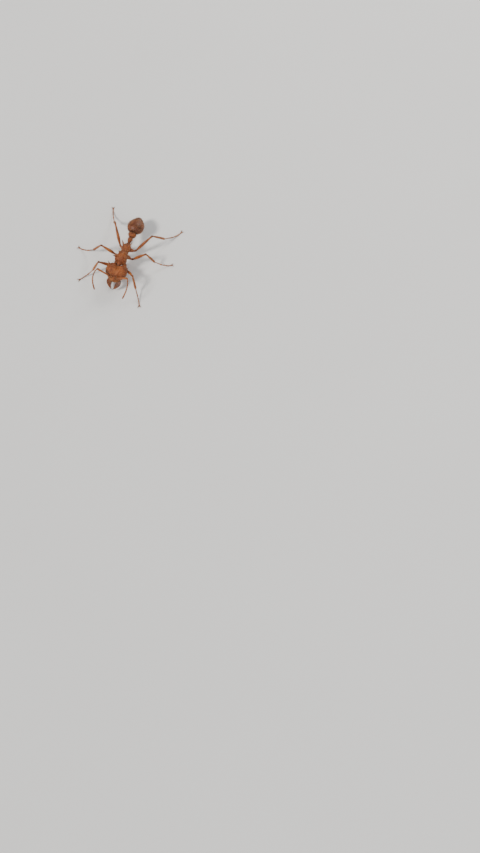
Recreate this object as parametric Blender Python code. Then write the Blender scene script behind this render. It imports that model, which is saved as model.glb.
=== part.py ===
# A leafcutter ant worker at life size, standing still on its six feet with its mandibles a little open.
#
# Lengths are in millimetres and the shapes are made at one unit to the millimetre, because Blender's
# Boolean is too coarse for pieces this small in metres. The last step brings each finished mesh to metres.
# The ant faces -Y, its left side is +X, and the floor is the plane z = 0.

import math

import bmesh
import bpy
from mathutils import Matrix, Vector

TO_METRES = 0.001
SEAM = 0.05  # clear space between plates that meet

# Head capsule, in its own frame: x to the left, y forward, z up; origin at its middle
HEAD_HALF_WIDTH = 1.56
HEAD_HALF_LENGTH = 1.40
HEAD_HALF_DEPTH = 0.96
HEAD_PLACE = Vector((0.0, -3.10, 2.41))
HEAD_DIP = math.radians(35)
OCCIPUT_NOTCH = 0.58
EYE_RADII = (0.17, 0.21, 0.20)
EYE_PLACE = Vector((1.36, 0.20, 0.16))
ANTENNA_SOCKET = Vector((0.42, 0.62, 0.66))

# Mandibles, in the head's frame, as seen from above
MANDIBLE_HINGE = Vector((0.86, 1.08, -0.16))
MANDIBLE_REACH = 1.46
MANDIBLE_DEPTH = 0.42
MANDIBLE_TEETH = 7
MANDIBLE_TOOTH = 0.19

# Antennae
SCAPE_RADIUS = 0.25
FUNICULUS_RADIUS = 0.235
FUNICULUS_SEGMENTS = 10

# Legs: lengths of coxa, trochanter, femur and tibia, then the five tarsomeres, for each pair
LEG_LENGTHS = {
    "front": (0.95, 0.34, 2.40, 2.10, (1.15, 0.42, 0.32, 0.24, 0.46)),
    "mid": (0.85, 0.34, 2.70, 2.40, (1.30, 0.46, 0.34, 0.26, 0.48)),
    "hind": (0.90, 0.36, 3.40, 3.10, (1.62, 0.56, 0.40, 0.28, 0.52)),
}
LEG_ROOTS = {
    "front": ((0.44, -1.30, 2.34), (0.98, -1.66, 1.60)),
    "mid": ((0.40, 0.02, 2.22), (1.02, 0.12, 1.60)),
    "hind": ((0.38, 1.12, 2.26), (0.98, 1.48, 1.62)),
}
# Degrees for each leg: heading of the femur (0 sideways, + forward), lift of the femur, drop of the tibia,
# and how far the tibia and then the tarsus turn on from the femur's heading (+ forward)
LEG_STANCES = {
    ("front", "left"): (44, 38, 60, 6, 9),
    ("front", "right"): (29, 42, 65, 7, 9),
    ("mid", "left"): (-12, 44, 62, -5, -8),
    ("mid", "right"): (6, 41, 58, -6, -7),
    ("hind", "left"): (-44, 40, 52, -6, -9),
    ("hind", "right"): (-55, 43, 57, -5, -6),
}
COXA_RADIUS = 0.33
FEMUR_RADIUS = 0.31
TIBIA_RADIUS = 0.25
TARSUS_RADIUS = 0.245
FOOT_HEIGHT = 0.20  # middle of the last tarsomere above the floor, so that its underside is a small flat

# Trunk and waist profiles along y: (y, half width, top, bottom)
TRUNK_PROFILE = [
    (-2.02, 0.25, 2.97, 2.50),
    (-1.84, 0.31, 3.04, 2.42),
    (-1.62, 0.60, 3.30, 2.28),
    (-1.32, 0.84, 3.54, 2.10),
    (-0.92, 0.86, 3.68, 2.00),
    (-0.50, 0.73, 3.68, 1.96),
    (-0.06, 0.62, 3.52, 1.94),
    (0.28, 0.55, 3.26, 1.94),
    (0.55, 0.57, 3.20, 1.95),
    (0.95, 0.62, 3.26, 1.98),
    (1.32, 0.59, 3.14, 2.02),
    (1.62, 0.48, 2.92, 2.08),
    (1.86, 0.32, 2.70, 2.16),
    (1.96, 0.24, 2.60, 2.22),
]
PETIOLE_PROFILE = [
    (2.01, 0.22, 2.60, 2.22),
    (2.20, 0.24, 2.64, 2.18),
    (2.42, 0.31, 2.86, 2.12),
    (2.62, 0.35, 2.99, 2.08),
    (2.80, 0.31, 2.86, 2.10),
    (2.93, 0.25, 2.68, 2.18),
]
POSTPETIOLE_PROFILE = [
    (2.98, 0.26, 2.70, 2.16),
    (3.14, 0.42, 2.88, 2.04),
    (3.38, 0.59, 2.99, 1.96),
    (3.60, 0.61, 2.95, 1.96),
    (3.74, 0.48, 2.84, 2.05),
]
GASTER_PROFILE = [
    (3.79, 0.46, 2.84, 2.04),
    (3.95, 0.76, 3.06, 1.84),
    (4.30, 1.06, 3.29, 1.58),
    (4.80, 1.21, 3.37, 1.42),
    (5.30, 1.17, 3.27, 1.37),
    (5.80, 0.97, 3.03, 1.43),
    (6.20, 0.70, 2.76, 1.55),
    (6.50, 0.42, 2.50, 1.70),
    (6.63, 0.26, 2.35, 1.80),
    (6.70, 0.12, 2.20, 1.93),
]
TRUNK_SEAMS = [(-0.62, 24), (0.40, -14)]  # (y at the middle height, degrees that the cut leans back)
GASTER_SEAMS = [(5.56, 10), (6.02, 14), (6.38, 18)]

# Spines: node, root, tip, root radius; the other side mirrors them
SPINES = {
    "head": [
        ((1.05, -0.95, 0.34), (1.42, -1.45, 0.72), 0.17),
        ((1.22, -0.80, -0.20), (1.50, -1.20, -0.34), 0.13),
    ],
    "trunk": [
        ((0.62, -1.12, 3.34), (1.12, -1.36, 3.98), 0.19),
        ((0.34, -0.40, 3.48), (0.52, -0.44, 4.04), 0.16),
        ((0.34, 1.00, 3.02), (0.80, 1.62, 3.74), 0.19),
        ((0.66, -1.22, 2.40), (1.04, -1.42, 2.20), 0.13),
    ],
    "petiole": [((0.16, 2.60, 2.86), (0.24, 2.66, 3.16), 0.09)],
}

COLOURS = {
    "cuticle": ((0.235, 0.072, 0.024), 0.52),
    "gaster": ((0.175, 0.050, 0.020), 0.48),
    "limb": ((0.290, 0.094, 0.030), 0.46),
    "tooth": ((0.050, 0.014, 0.008), 0.30),
    "eye": ((0.010, 0.008, 0.008), 0.16),
}


def smooth_step(low, high, value):
    share = min(max((value - low) / (high - low), 0.0), 1.0)
    return share * share * (3 - 2 * share)


def bump(distance, width):
    return math.exp(-((distance / width) ** 2))


# Making and joining meshes


def add_object(name, mesh, material=None):
    made = bpy.data.objects.new(name, mesh)
    bpy.context.scene.collection.objects.link(made)
    if material:
        mesh.materials.append(material)
    return made


def mesh_from_rings(name, rings):
    """One closed mesh through rings of equal length, with a flat cap at each end."""
    shape = bmesh.new()
    rows = [[shape.verts.new(point) for point in ring] for ring in rings]
    sides = len(rows[0])
    for near, far in zip(rows, rows[1:]):
        for i in range(sides):
            j = (i + 1) % sides
            shape.faces.new((near[i], near[j], far[j], far[i]))
    shape.faces.new(rows[0][::-1])
    shape.faces.new(rows[-1])
    bmesh.ops.recalc_face_normals(shape, faces=shape.faces)
    mesh = bpy.data.meshes.new(name)
    shape.to_mesh(mesh)
    shape.free()
    return mesh


def placed(mesh, frame):
    """Carries a mesh from the head's frame, which is left-handed, so its faces are turned round again."""
    mesh.transform(frame)
    mesh.flip_normals()


def combine(target, tools, operation):
    """Joins the tools to the target, or cuts them from it, and removes them."""
    for tool in tools:
        step = target.modifiers.new(operation.title(), "BOOLEAN")
        step.operation = operation
        step.solver = "EXACT"
        step.object = tool
    bpy.context.view_layer.update()
    graph = bpy.context.evaluated_depsgraph_get()
    made = bpy.data.meshes.new_from_object(target.evaluated_get(graph))
    target.modifiers.clear()
    target.data = made
    for tool in tools:
        bpy.data.objects.remove(tool)


def half_of(mesh, point, normal):
    """Clears what lies ahead of the plane, and closes the cut."""
    shape = bmesh.new()
    shape.from_mesh(mesh)
    cut = bmesh.ops.bisect_plane(
        shape,
        geom=shape.verts[:] + shape.edges[:] + shape.faces[:],
        plane_co=point,
        plane_no=normal,
        clear_outer=True,
    )["geom_cut"]
    rim = [piece for piece in cut if isinstance(piece, bmesh.types.BMEdge)]
    bmesh.ops.contextual_create(shape, geom=rim)
    bmesh.ops.recalc_face_normals(shape, faces=shape.faces)
    shape.to_mesh(mesh)
    shape.free()


def part_at_seams(whole, names, seams, middle):
    """Divides a body into plates by thin slanting cuts across y."""
    cuts = []
    for y, lean in seams:
        tilt = math.radians(lean)
        cuts.append((Vector((0, y, middle)), Vector((0, math.cos(tilt), -math.sin(tilt)))))
    plates = []
    for i, name in enumerate(names):
        mesh = whole.data.copy()
        if i < len(cuts):
            point, normal = cuts[i]
            half_of(mesh, point - normal * SEAM / 2, normal)
        if i > 0:
            point, normal = cuts[i - 1]
            half_of(mesh, point + normal * SEAM / 2, -normal)
        plates.append(add_object(name, mesh))
    bpy.data.objects.remove(whole)
    return plates


# Shapes


def ellipsoid(name, centre, radii, detail, frame=None):
    shape = bmesh.new()
    bmesh.ops.create_icosphere(shape, subdivisions=detail, radius=1.0)
    bmesh.ops.scale(shape, vec=radii, verts=shape.verts)
    bmesh.ops.translate(shape, vec=centre, verts=shape.verts)
    mesh = bpy.data.meshes.new(name)
    shape.to_mesh(mesh)
    shape.free()
    if frame:
        placed(mesh, frame)
    return add_object(name, mesh)


def tube_rings(points, radii, sides, first=None, last=None, flat=1.0):
    """Rings along a path, each in the plane that halves its bend; first and last tilt the end planes."""
    along = [(b - a).normalized() for a, b in zip(points, points[1:])]
    rings = []
    side = along[0].cross(Vector((0, 0, 1)))
    side = side.normalized() if side.length > 1e-4 else Vector((1, 0, 0))
    for i, (point, radius) in enumerate(zip(points, radii)):
        before = along[max(i - 1, 0)]
        after = along[min(i, len(along) - 1)]
        plane = (before + after).normalized()
        if i == 0 and first:
            plane = first
        if i == len(points) - 1 and last:
            plane = last
        side = (side - before * side.dot(before)).normalized()
        rise = before.cross(side)
        ring = []
        for k in range(sides):
            angle = 2 * math.pi * (k + 0.5) / sides
            spot = point + side * math.cos(angle) * radius * flat + rise * math.sin(angle) * radius
            slide = (point - spot).dot(plane) / before.dot(plane)
            ring.append(spot + before * slide)
        rings.append(ring)
    return rings


def tube(name, points, radii, sides=8, first=None, last=None, flat=1.0):
    return add_object(name, mesh_from_rings(name, tube_rings(points, radii, sides, first, last, flat)))


def spine(name, root, tip, radius, sides=7):
    """A thorn that starts inside its plate, bends a little towards the back and ends in a blunt point."""
    reach = tip - root
    bend = Vector((0, 0.05, 0)) * reach.length
    stations = [(-0.12, 1.1), (0.22, 0.84), (0.55, 0.55), (0.85, 0.28), (1.0, 0.12)]
    points = [root + reach * s + bend * math.sin(math.pi * max(s, 0)) for s, _ in stations]
    return tube(name, points, [radius * r for _, r in stations], sides)


def spine_pairs(node, frame=None):
    made = []
    for root, tip, radius in SPINES[node]:
        for side in (1, -1):
            ends = [Vector((p[0] * side, p[1], p[2])) for p in (root, tip)]
            if frame:
                ends = [frame @ end for end in ends]
            made.append(spine("spine", ends[0], ends[1], radius))
    return made


def profile_at(profile, y):
    """Half width, top and bottom at y, on smooth curves through the profile's stations."""
    i = max(k for k in range(len(profile) - 1) if profile[k][0] <= y + 1e-9)
    near, far = profile[i], profile[i + 1]
    share = (y - near[0]) / (far[0] - near[0])
    values = []
    for part in (1, 2, 3):
        before = profile[max(i - 1, 0)]
        after = profile[min(i + 2, len(profile) - 1)]
        span = far[0] - near[0]
        rate_near = (far[part] - before[part]) / (far[0] - before[0]) * span
        rate_far = (after[part] - near[part]) / (after[0] - near[0]) * span
        s2, s3 = share**2, share**3
        value = (2 * s3 - 3 * s2 + 1) * near[part] + (s3 - 2 * s2 + share) * rate_near
        value += (3 * s2 - 2 * s3) * far[part] + (s3 - s2) * rate_far
        values.append(value)
    return values


def body_of(name, profile, rows, sides, fullness):
    """A body along y with rounded-box sections; a fullness of 2 gives plain ellipses."""
    rings = []
    start, end = profile[0][0], profile[-1][0]
    for r in range(rows):
        y = start + (end - start) * (0.5 - 0.5 * math.cos(math.pi * r / (rows - 1)))
        width, top, bottom = profile_at(profile, min(max(y, start), end - 1e-6))
        middle, half = (top + bottom) / 2, (top - bottom) / 2
        ring = []
        for k in range(sides):
            angle = 2 * math.pi * k / sides
            across, up = math.cos(angle), math.sin(angle)
            stretch = (abs(across) ** fullness + abs(up) ** fullness) ** (-1 / fullness)
            ring.append(Vector((across * stretch * width, y, middle + up * stretch * half)))
        rings.append(ring)
    return add_object(name, mesh_from_rings(name, rings))


# Head


def head_frame():
    """Carries the head to its place: forward is tipped down, and +z becomes the face's outward side."""
    forward = Vector((0, -math.cos(HEAD_DIP), -math.sin(HEAD_DIP)))
    up = Vector((0, -math.sin(HEAD_DIP), math.cos(HEAD_DIP)))
    turn = Matrix((Vector((1, 0, 0)), forward, up)).transposed().to_4x4()
    return Matrix.Translation(HEAD_PLACE) @ turn


def head_point(unit):
    """The heart-shaped capsule from a point of the unit sphere."""
    power = 2.5
    stretch = sum(abs(part) ** power for part in unit) ** (-1 / power)
    a, b, c = unit * stretch
    narrow = 1 - 0.42 * smooth_step(-0.15, 1.05, b)
    thin = (1 - 0.40 * smooth_step(-0.1, 1.0, b)) * (1 - 0.26 * smooth_step(-0.35, -1.0, b))
    x = HEAD_HALF_WIDTH * a * narrow
    y = HEAD_HALF_LENGTH * b
    z = HEAD_HALF_DEPTH * c * thin
    back = smooth_step(-0.25, -1.0, b)
    y += OCCIPUT_NOTCH * bump(x, 0.50) * back * (0.78 + 0.22 * c)
    z -= 0.16 * bump(x, 0.30) * smooth_step(0.25, -0.85, b) * max(c, 0)
    lobes = bump(abs(x) - 0.40, 0.15) * bump(y - 0.52, 0.34) * max(c, 0)
    clypeus = bump(x, 0.34) * bump(y - 1.02, 0.30) * max(c, 0)
    z += 0.15 * lobes + 0.08 * clypeus
    return Vector((x, y, z))


def make_head():
    frame = head_frame()
    shape = bmesh.new()
    bmesh.ops.create_icosphere(shape, subdivisions=4, radius=1.0)
    for vert in shape.verts:
        vert.co = head_point(vert.co.normalized())
    mesh = bpy.data.meshes.new("head")
    shape.to_mesh(mesh)
    shape.free()
    placed(mesh, frame)
    head = add_object("head", mesh)
    combine(head, spine_pairs("head", frame), "UNION")
    return head


def mirrored(point, side):
    return Vector((point[0] * side, point[1], point[2]))


def make_eye(side, grow=0.0):
    radii = [r + grow for r in EYE_RADII]
    return ellipsoid(f"eye_{side_name(side)}", mirrored(EYE_PLACE, side), radii, 2, head_frame())


def side_name(side):
    return "left" if side > 0 else "right"


def mandible_outline():
    """Outline from above, the hinge first: the outer edge sweeps to the point, and the inner one has teeth."""
    hinge, reach = MANDIBLE_HINGE, MANDIBLE_REACH
    outer = []
    for i in range(9):
        share = i / 8
        sweep = 0.16 * math.sin(math.pi * share**0.8) - 0.84 * share**2.4
        outer.append((hinge.x + 0.08 + sweep, hinge.y + reach * share))
    point = outer[-1]
    heel = (hinge.x - 0.58, hinge.y + 0.42)
    inner = []
    for i in range(MANDIBLE_TEETH):
        for place, out in ((0.30, 0.0), (0.66, 1.0)):
            share = (i + place) / MANDIBLE_TEETH
            size = MANDIBLE_TOOTH * (1 - 0.50 * share) * out
            x = point[0] + (heel[0] - point[0]) * share + 0.16 * math.sin(math.pi * share)
            y = point[1] + (heel[1] - point[1]) * share
            inner.append((x - size * 0.85, y + size * 0.40))
    root = [heel, (hinge.x - 0.42, hinge.y + 0.16), (hinge.x - 0.14, hinge.y - 0.08)]
    return outer + inner + root


def make_mandible(side, grow=0.0):
    """A toothed blade, thick along its outer edge and thin along its teeth."""
    name = f"mandible_{side_name(side)}"
    outline = mandible_outline()
    shape = bmesh.new()
    faces = []
    for level in (1, -1):
        row = []
        for x, y in outline:
            inward = min(max((MANDIBLE_HINGE.x + 0.12 - x) / 0.8, 0), 1)
            tip = smooth_step(0.5, 1.0, (y - MANDIBLE_HINGE.y) / MANDIBLE_REACH)
            half = MANDIBLE_DEPTH / 2 * (1 - 0.55 * inward) * (1 - 0.50 * tip)
            droop = -0.10 * ((y - MANDIBLE_HINGE.y) / MANDIBLE_REACH) ** 2
            row.append(shape.verts.new((x * side, y, MANDIBLE_HINGE.z + droop + level * half)))
        faces.append(row)
    count = len(outline)
    for i in range(count):
        j = (i + 1) % count
        shape.faces.new((faces[0][i], faces[0][j], faces[1][j], faces[1][i]))
    caps = [shape.faces.new(faces[0][::-1]), shape.faces.new(faces[1])]
    bmesh.ops.triangulate(shape, faces=caps)
    bmesh.ops.recalc_face_normals(shape, faces=shape.faces)
    mesh = bpy.data.meshes.new(name)
    shape.to_mesh(mesh)
    shape.free()
    placed(mesh, head_frame())
    return add_object(name, mesh)


def mandible_socket(side):
    """Room in the cheek for the mandible's root."""
    centre = mirrored(MANDIBLE_HINGE + Vector((-0.14, 0.14, 0)), side)
    return ellipsoid("socket", centre, (0.46, 0.40, MANDIBLE_DEPTH / 2 + SEAM), 2, head_frame())


# Antennae


def antenna_route(side):
    """Socket, elbow, and the funiculus's course from there."""
    socket = head_frame() @ mirrored(ANTENNA_SOCKET, side)
    if side > 0:
        elbow = Vector((2.30, -4.34, 4.20))
        middle = Vector((2.72, -5.66, 3.92))
        tip = Vector((2.46, -7.06, 2.86))
    else:
        elbow = Vector((-2.36, -4.20, 4.06))
        middle = Vector((-2.52, -5.62, 3.72))
        tip = Vector((-1.78, -6.90, 2.74))
    return socket, elbow, middle, tip


def curve_points(start, middle, end, count):
    """A smooth bend from start to end that passes near the middle point."""
    control = middle * 2 - (start + end) / 2
    points = []
    for i in range(count):
        s = i / (count - 1)
        points.append(start * (1 - s) ** 2 + control * 2 * s * (1 - s) + end * s**2)
    return points


def make_antenna(side):
    socket, elbow, middle, tip = antenna_route(side)
    name = side_name(side)
    reach = elbow - socket
    bow = Vector((0, -0.10, 0.14))
    stations = [(0.0, 0.64), (0.05, 0.78), (0.12, 0.70), (0.30, 0.90), (0.62, 1.0), (0.90, 1.12), (1.0, 0.92)]
    points = [socket + reach * s + bow * math.sin(math.pi * s) for s, _ in stations]
    start = (middle - elbow).normalized()
    end = (points[-1] - points[-2]).normalized()
    fold = (start + end).normalized()
    points[-1] = elbow - fold * SEAM / 2 / fold.dot(end)
    plates = [tube(f"scape_{name}", points, [SCAPE_RADIUS * r for _, r in stations], 8, last=fold)]
    course = curve_points(elbow, middle, tip, FUNICULUS_SEGMENTS * 2 + 1)
    beads = []
    for i in range(len(course)):
        share = i / (len(course) - 1)
        thick = 1.0 + 0.12 * smooth_step(0.2, 0.8, share)
        beads.append(FUNICULUS_RADIUS * thick * (0.90 if i % 2 == 0 else 1.06))
    beads[0] = SCAPE_RADIUS * 0.86
    beads[-1] = FUNICULUS_RADIUS * 0.55
    course[0] = elbow + fold * SEAM / 2 / fold.dot(start)
    plates.append(tube(f"funiculus_{name}", course, beads, 8, first=fold))
    return plates


def antenna_socket(side):
    socket = antenna_route(side)[0]
    return ellipsoid("socket", socket, [SCAPE_RADIUS * 0.86 + SEAM] * 3, 2)


# Legs


def leg_course(pair, side_label):
    """Joints of one leg from the coxa's root to the foot's tip, worked out from its stance."""
    side = 1 if side_label == "left" else -1
    root, hip = (mirrored(Vector(p), side) for p in LEG_ROOTS[pair])
    _, trochanter, femur, tibia, tarsus = LEG_LENGTHS[pair]
    heading, lift, drop, shin_turn, foot_turn = (math.radians(v) for v in LEG_STANCES[(pair, side_label)])

    def step(angle, turned=0.0):
        way = heading + turned
        out = Vector((math.cos(way) * side, -math.sin(way), 0))
        return out * math.cos(angle) + Vector((0, 0, 1)) * math.sin(angle)

    coxa_way = (hip - root).normalized()
    turn = (coxa_way + step(lift) * 1.2).normalized()
    elbow = hip + turn * trochanter
    knee = elbow + step(lift) * femur
    ankle = knee + step(-drop, shin_turn) * tibia
    low, high = 0.0, math.radians(85)
    rest = sum(tarsus[1:4])
    for _ in range(40):
        slope = (low + high) / 2
        fall = tarsus[0] * math.sin(slope) + rest * math.sin(0.55 * slope)
        if fall < ankle.z - FOOT_HEIGHT:
            low = slope
        else:
            high = slope
    joints = [root, hip, elbow, knee, ankle]
    spot = ankle
    for i, length in enumerate(tarsus):
        angle = (slope, 0.55 * slope, 0.55 * slope, 0.55 * slope, 0.0)[i]
        spot = spot + step(-angle, shin_turn + foot_turn * (i + 1) / 3) * length
        joints.append(spot)
    return joints


def mitre(before, joint, after):
    """The plane that halves a bend, as its unit normal."""
    return ((joint - before).normalized() + (after - joint).normalized()).normalized()


def end_at(joint, plane, way, side):
    """The joint moved along way, so that plates on both sides of the plane keep the seam."""
    return joint + way * side * SEAM / 2 / abs(plane.dot(way))


def coxa_rings(joints, grow=0.0):
    root, hip, elbow = joints[:3]
    way = (hip - root).normalized()
    length = (hip - root).length
    plane = mitre(root, hip, elbow)
    stations = [(-0.22, 0.45), (-0.12, 0.82), (0.10, 1.0), (0.55, 0.96)]
    points = [root + way * (s * length - grow) for s, _ in stations]
    radii = [COXA_RADIUS * r + grow for _, r in stations]
    points.append(end_at(hip, plane, way, -1))
    radii.append(COXA_RADIUS * 0.80 + grow)
    return tube_rings(points, radii, 8, last=plane)


def make_leg(pair, side_label):
    joints = leg_course(pair, side_label)
    _, hip, elbow, knee, ankle = joints[:5]
    name = f"{pair}_{side_label}"
    plates = [add_object(f"coxa_{name}", mesh_from_rings("coxa", coxa_rings(joints)))]

    first = mitre(joints[0], hip, elbow)
    last = mitre(elbow, knee, ankle)
    thigh = knee - elbow
    points = [end_at(hip, first, (elbow - hip).normalized(), 1), elbow]
    points += [elbow + thigh * s for s in (0.22, 0.55, 0.88)]
    points.append(end_at(knee, last, thigh.normalized(), -1))
    radii = [FEMUR_RADIUS * r for r in (0.80, 0.80, 1.0, 0.92, 0.80, 0.80)]
    plates.append(tube(f"femur_{name}", points, radii, 8, first, last))

    foot = mitre(knee, ankle, joints[5])
    shin = ankle - knee
    points = [end_at(knee, last, shin.normalized(), 1)]
    points += [knee + shin * s for s in (0.12, 0.45, 0.85)]
    points.append(end_at(ankle, foot, shin.normalized(), -1))
    radii = [TIBIA_RADIUS * r for r in (0.92, 0.96, 1.0, 1.12, 1.06)]
    plates.append(tube(f"tibia_{name}", points, radii, 8, last, foot))
    plates.append(make_tarsus(f"tarsus_{name}", joints[4:], foot))
    return plates


def make_tarsus(name, joints, plane):
    """Five tarsomeres, each wider at its far end, with two claws; the last lies flat on the floor."""
    points, radii = [], []
    for near, far in zip(joints, joints[1:]):
        points += [near, near + (far - near) * 0.86]
        radii += [TARSUS_RADIUS * 0.92, TARSUS_RADIUS * 1.04]
    points[0] = end_at(joints[0], plane, (joints[1] - joints[0]).normalized(), 1)
    points.append(joints[-1])
    radii.append(TARSUS_RADIUS * 0.80)
    foot = tube(name, points, radii, 8, first=plane)
    ahead = (joints[-1] - joints[-2]).normalized()
    aside = ahead.cross(Vector((0, 0, 1))).normalized()
    claws = []
    for turn in (1, -1):
        splay = (ahead + aside * turn * 0.62).normalized()
        base = joints[-1] - ahead * 0.10 + aside * turn * 0.08
        hook = [base, base + splay * 0.20 + Vector((0, 0, 0.03)), base + splay * 0.36 - Vector((0, 0, 0.06)),
                base + splay * 0.44 - Vector((0, 0, 0.16))]
        claws.append(tube("claw", hook, (0.11, 0.09, 0.065, 0.03), 6))
    combine(foot, claws, "UNION")
    for vert in foot.data.vertices:
        vert.co.z = max(vert.co.z, 0.0)
    return foot


# Assembly


def material(name):
    (red, green, blue), roughness = COLOURS[name]
    made = bpy.data.materials.new(name)
    made.use_nodes = True
    shader = made.node_tree.nodes["Principled BSDF"]
    shader.inputs["Base Color"].default_value = (red, green, blue, 1)
    shader.inputs["Roughness"].default_value = roughness
    shader.inputs["Metallic"].default_value = 0.0
    return made


def make_body():
    """Trunk, waist and gaster, each whole and then divided into its plates."""
    trunk = body_of("trunk", TRUNK_PROFILE, 19, 18, 2.3)
    combine(trunk, spine_pairs("trunk"), "UNION")
    sockets = []
    for pair, side in LEG_STANCES:
        rings = coxa_rings(leg_course(pair, side), SEAM)
        sockets.append(add_object("socket", mesh_from_rings("socket", rings)))
    combine(trunk, sockets, "DIFFERENCE")
    plates = part_at_seams(trunk, ["pronotum", "mesothorax", "propodeum"], TRUNK_SEAMS, 2.8)
    petiole = body_of("petiole", PETIOLE_PROFILE, 8, 12, 2.2)
    combine(petiole, spine_pairs("petiole"), "UNION")
    plates += [petiole, body_of("postpetiole", POSTPETIOLE_PROFILE, 7, 14, 2.3)]
    gaster = body_of("gaster", GASTER_PROFILE, 16, 18, 2.0)
    names = [f"gaster_{i}" for i in (1, 2, 3, 4)]
    return plates + part_at_seams(gaster, names, GASTER_SEAMS, 2.4)


def make_head_group():
    """The capsule with its sockets, and what sits in them."""
    head = make_head()
    room = [(y, w + SEAM, t + SEAM, b - SEAM) for y, w, t, b in TRUNK_PROFILE[:3]]
    collar = body_of("collar", room, 5, 18, 2.3)
    collar.data.transform(Matrix.Translation((0, -SEAM, 0)))
    sockets = [collar]
    for side in (1, -1):
        sockets += [make_eye(side, 0.03), antenna_socket(side), mandible_socket(side)]
    combine(head, sockets, "DIFFERENCE")
    plates = [head]
    for side in (1, -1):
        plates += [make_eye(side), make_mandible(side)] + make_antenna(side)
    return plates


def material_for(name, materials):
    if name.startswith("eye"):
        return materials["eye"]
    if name.startswith("mandible"):
        return materials["tooth"]
    if name.startswith("gaster"):
        return materials["gaster"]
    if name.split("_")[0] in ("coxa", "femur", "tibia", "tarsus", "scape", "funiculus"):
        return materials["limb"]
    return materials["cuticle"]


def centre_on_floor(plates):
    """Puts the middle of the whole outline over the origin, with the feet where they are."""
    spots = [vert.co for plate in plates for vert in plate.data.vertices]
    middle = [(min(s[i] for s in spots) + max(s[i] for s in spots)) / 2 for i in (0, 1)]
    for plate in plates:
        plate.data.transform(Matrix.Translation((-middle[0], -middle[1], 0)))


def main():
    for old in list(bpy.data.objects):
        bpy.data.objects.remove(old)
    plates = make_body() + make_head_group()
    for pair, side in LEG_STANCES:
        plates += make_leg(pair, side)
    centre_on_floor(plates)
    materials = {name: material(name) for name in COLOURS}
    for plate in plates:
        plate.data.name = plate.name
        plate.data.materials.clear()
        plate.data.materials.append(material_for(plate.name, materials))
        plate.data.transform(Matrix.Scale(TO_METRES, 4))
        plate.data.shade_smooth()
        plate.data.set_sharp_from_angle(angle=math.radians(50))


main()
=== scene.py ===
# The looks of the leafcutter ant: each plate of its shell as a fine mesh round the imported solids, with a
# procedural finish of its own, hairs of solid mesh, a pale floor and soft studio light.
#
# Shapes are worked out in millimetres in the ant's own frame: it faces -y, x is its left side and the floor
# is z = 0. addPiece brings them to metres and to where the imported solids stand.

import math

import bmesh
import bpy
import numpy as np
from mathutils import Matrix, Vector


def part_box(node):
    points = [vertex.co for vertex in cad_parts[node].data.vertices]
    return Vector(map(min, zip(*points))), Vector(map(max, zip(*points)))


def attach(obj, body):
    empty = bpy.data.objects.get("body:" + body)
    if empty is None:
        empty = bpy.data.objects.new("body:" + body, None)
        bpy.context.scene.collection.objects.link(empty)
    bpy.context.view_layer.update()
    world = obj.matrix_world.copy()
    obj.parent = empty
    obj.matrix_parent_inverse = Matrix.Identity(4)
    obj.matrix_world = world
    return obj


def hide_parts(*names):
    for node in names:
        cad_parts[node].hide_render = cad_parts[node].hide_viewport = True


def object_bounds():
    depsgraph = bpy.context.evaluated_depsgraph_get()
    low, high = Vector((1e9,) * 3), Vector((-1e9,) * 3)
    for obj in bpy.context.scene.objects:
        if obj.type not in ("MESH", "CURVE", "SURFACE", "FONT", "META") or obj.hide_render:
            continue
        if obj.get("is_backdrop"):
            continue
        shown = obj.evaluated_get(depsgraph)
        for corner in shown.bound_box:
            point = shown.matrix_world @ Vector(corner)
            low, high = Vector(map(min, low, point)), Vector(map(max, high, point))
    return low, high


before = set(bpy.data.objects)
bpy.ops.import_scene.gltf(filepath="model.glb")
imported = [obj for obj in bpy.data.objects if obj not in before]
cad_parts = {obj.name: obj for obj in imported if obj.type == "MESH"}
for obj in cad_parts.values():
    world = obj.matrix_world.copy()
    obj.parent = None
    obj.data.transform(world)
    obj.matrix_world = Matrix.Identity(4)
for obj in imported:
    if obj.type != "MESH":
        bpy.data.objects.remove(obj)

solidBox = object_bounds()
toMetres = 0.001
rng = np.random.default_rng(417)
up = np.array([0.0, 0.0, 1.0])
bothSides = (1, -1)


def smoothStep(low, high, value):
    share = np.clip((value - low) / (high - low), 0, 1)
    return share * share * (3 - 2 * share)


def bump(distance, width):
    return np.exp(-((distance / width) ** 2))


def lengthOf(vectors):
    return np.linalg.norm(vectors, axis=-1)


def unit(vectors):
    vectors = np.asarray(vectors, float)
    return vectors / np.maximum(lengthOf(vectors)[..., None], 1e-12)


def eased(share):
    return 0.5 - 0.5 * np.cos(math.pi * share)


def mirrored(point, side):
    return np.array(point, float) * (side, 1, 1)


def circle(sides):
    turns = 2 * math.pi * np.arange(sides) / sides
    return np.cos(turns), np.sin(turns)


def folded(points):
    # every point on the left side, for forms that both sides share
    return np.column_stack([np.abs(points[:, 0]), points[:, 1:]])


def sideName(side):
    return "left" if side > 0 else "right"


def onCurve(rows, at):
    # values at the places asked for, on smooth curves through rows of (place, value, ...)
    rows = np.array(rows, float)
    places, values = rows[:, 0], rows[:, 1:]
    slopes = np.gradient(values, places, axis=0)
    at = np.clip(np.atleast_1d(np.asarray(at, float)), places[0], places[-1])
    i = np.clip(np.searchsorted(places, at, side="right") - 1, 0, len(places) - 2)
    span = (places[i + 1] - places[i])[:, None]
    s = (at - places[i])[:, None] / span
    made = (2 * s**3 - 3 * s**2 + 1) * values[i] + (s**3 - 2 * s**2 + s) * slopes[i] * span
    return made + (3 * s**2 - 2 * s**3) * values[i + 1] + (s**3 - s**2) * slopes[i + 1] * span


# Meshes as (points, faces), with points in millimetres


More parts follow.
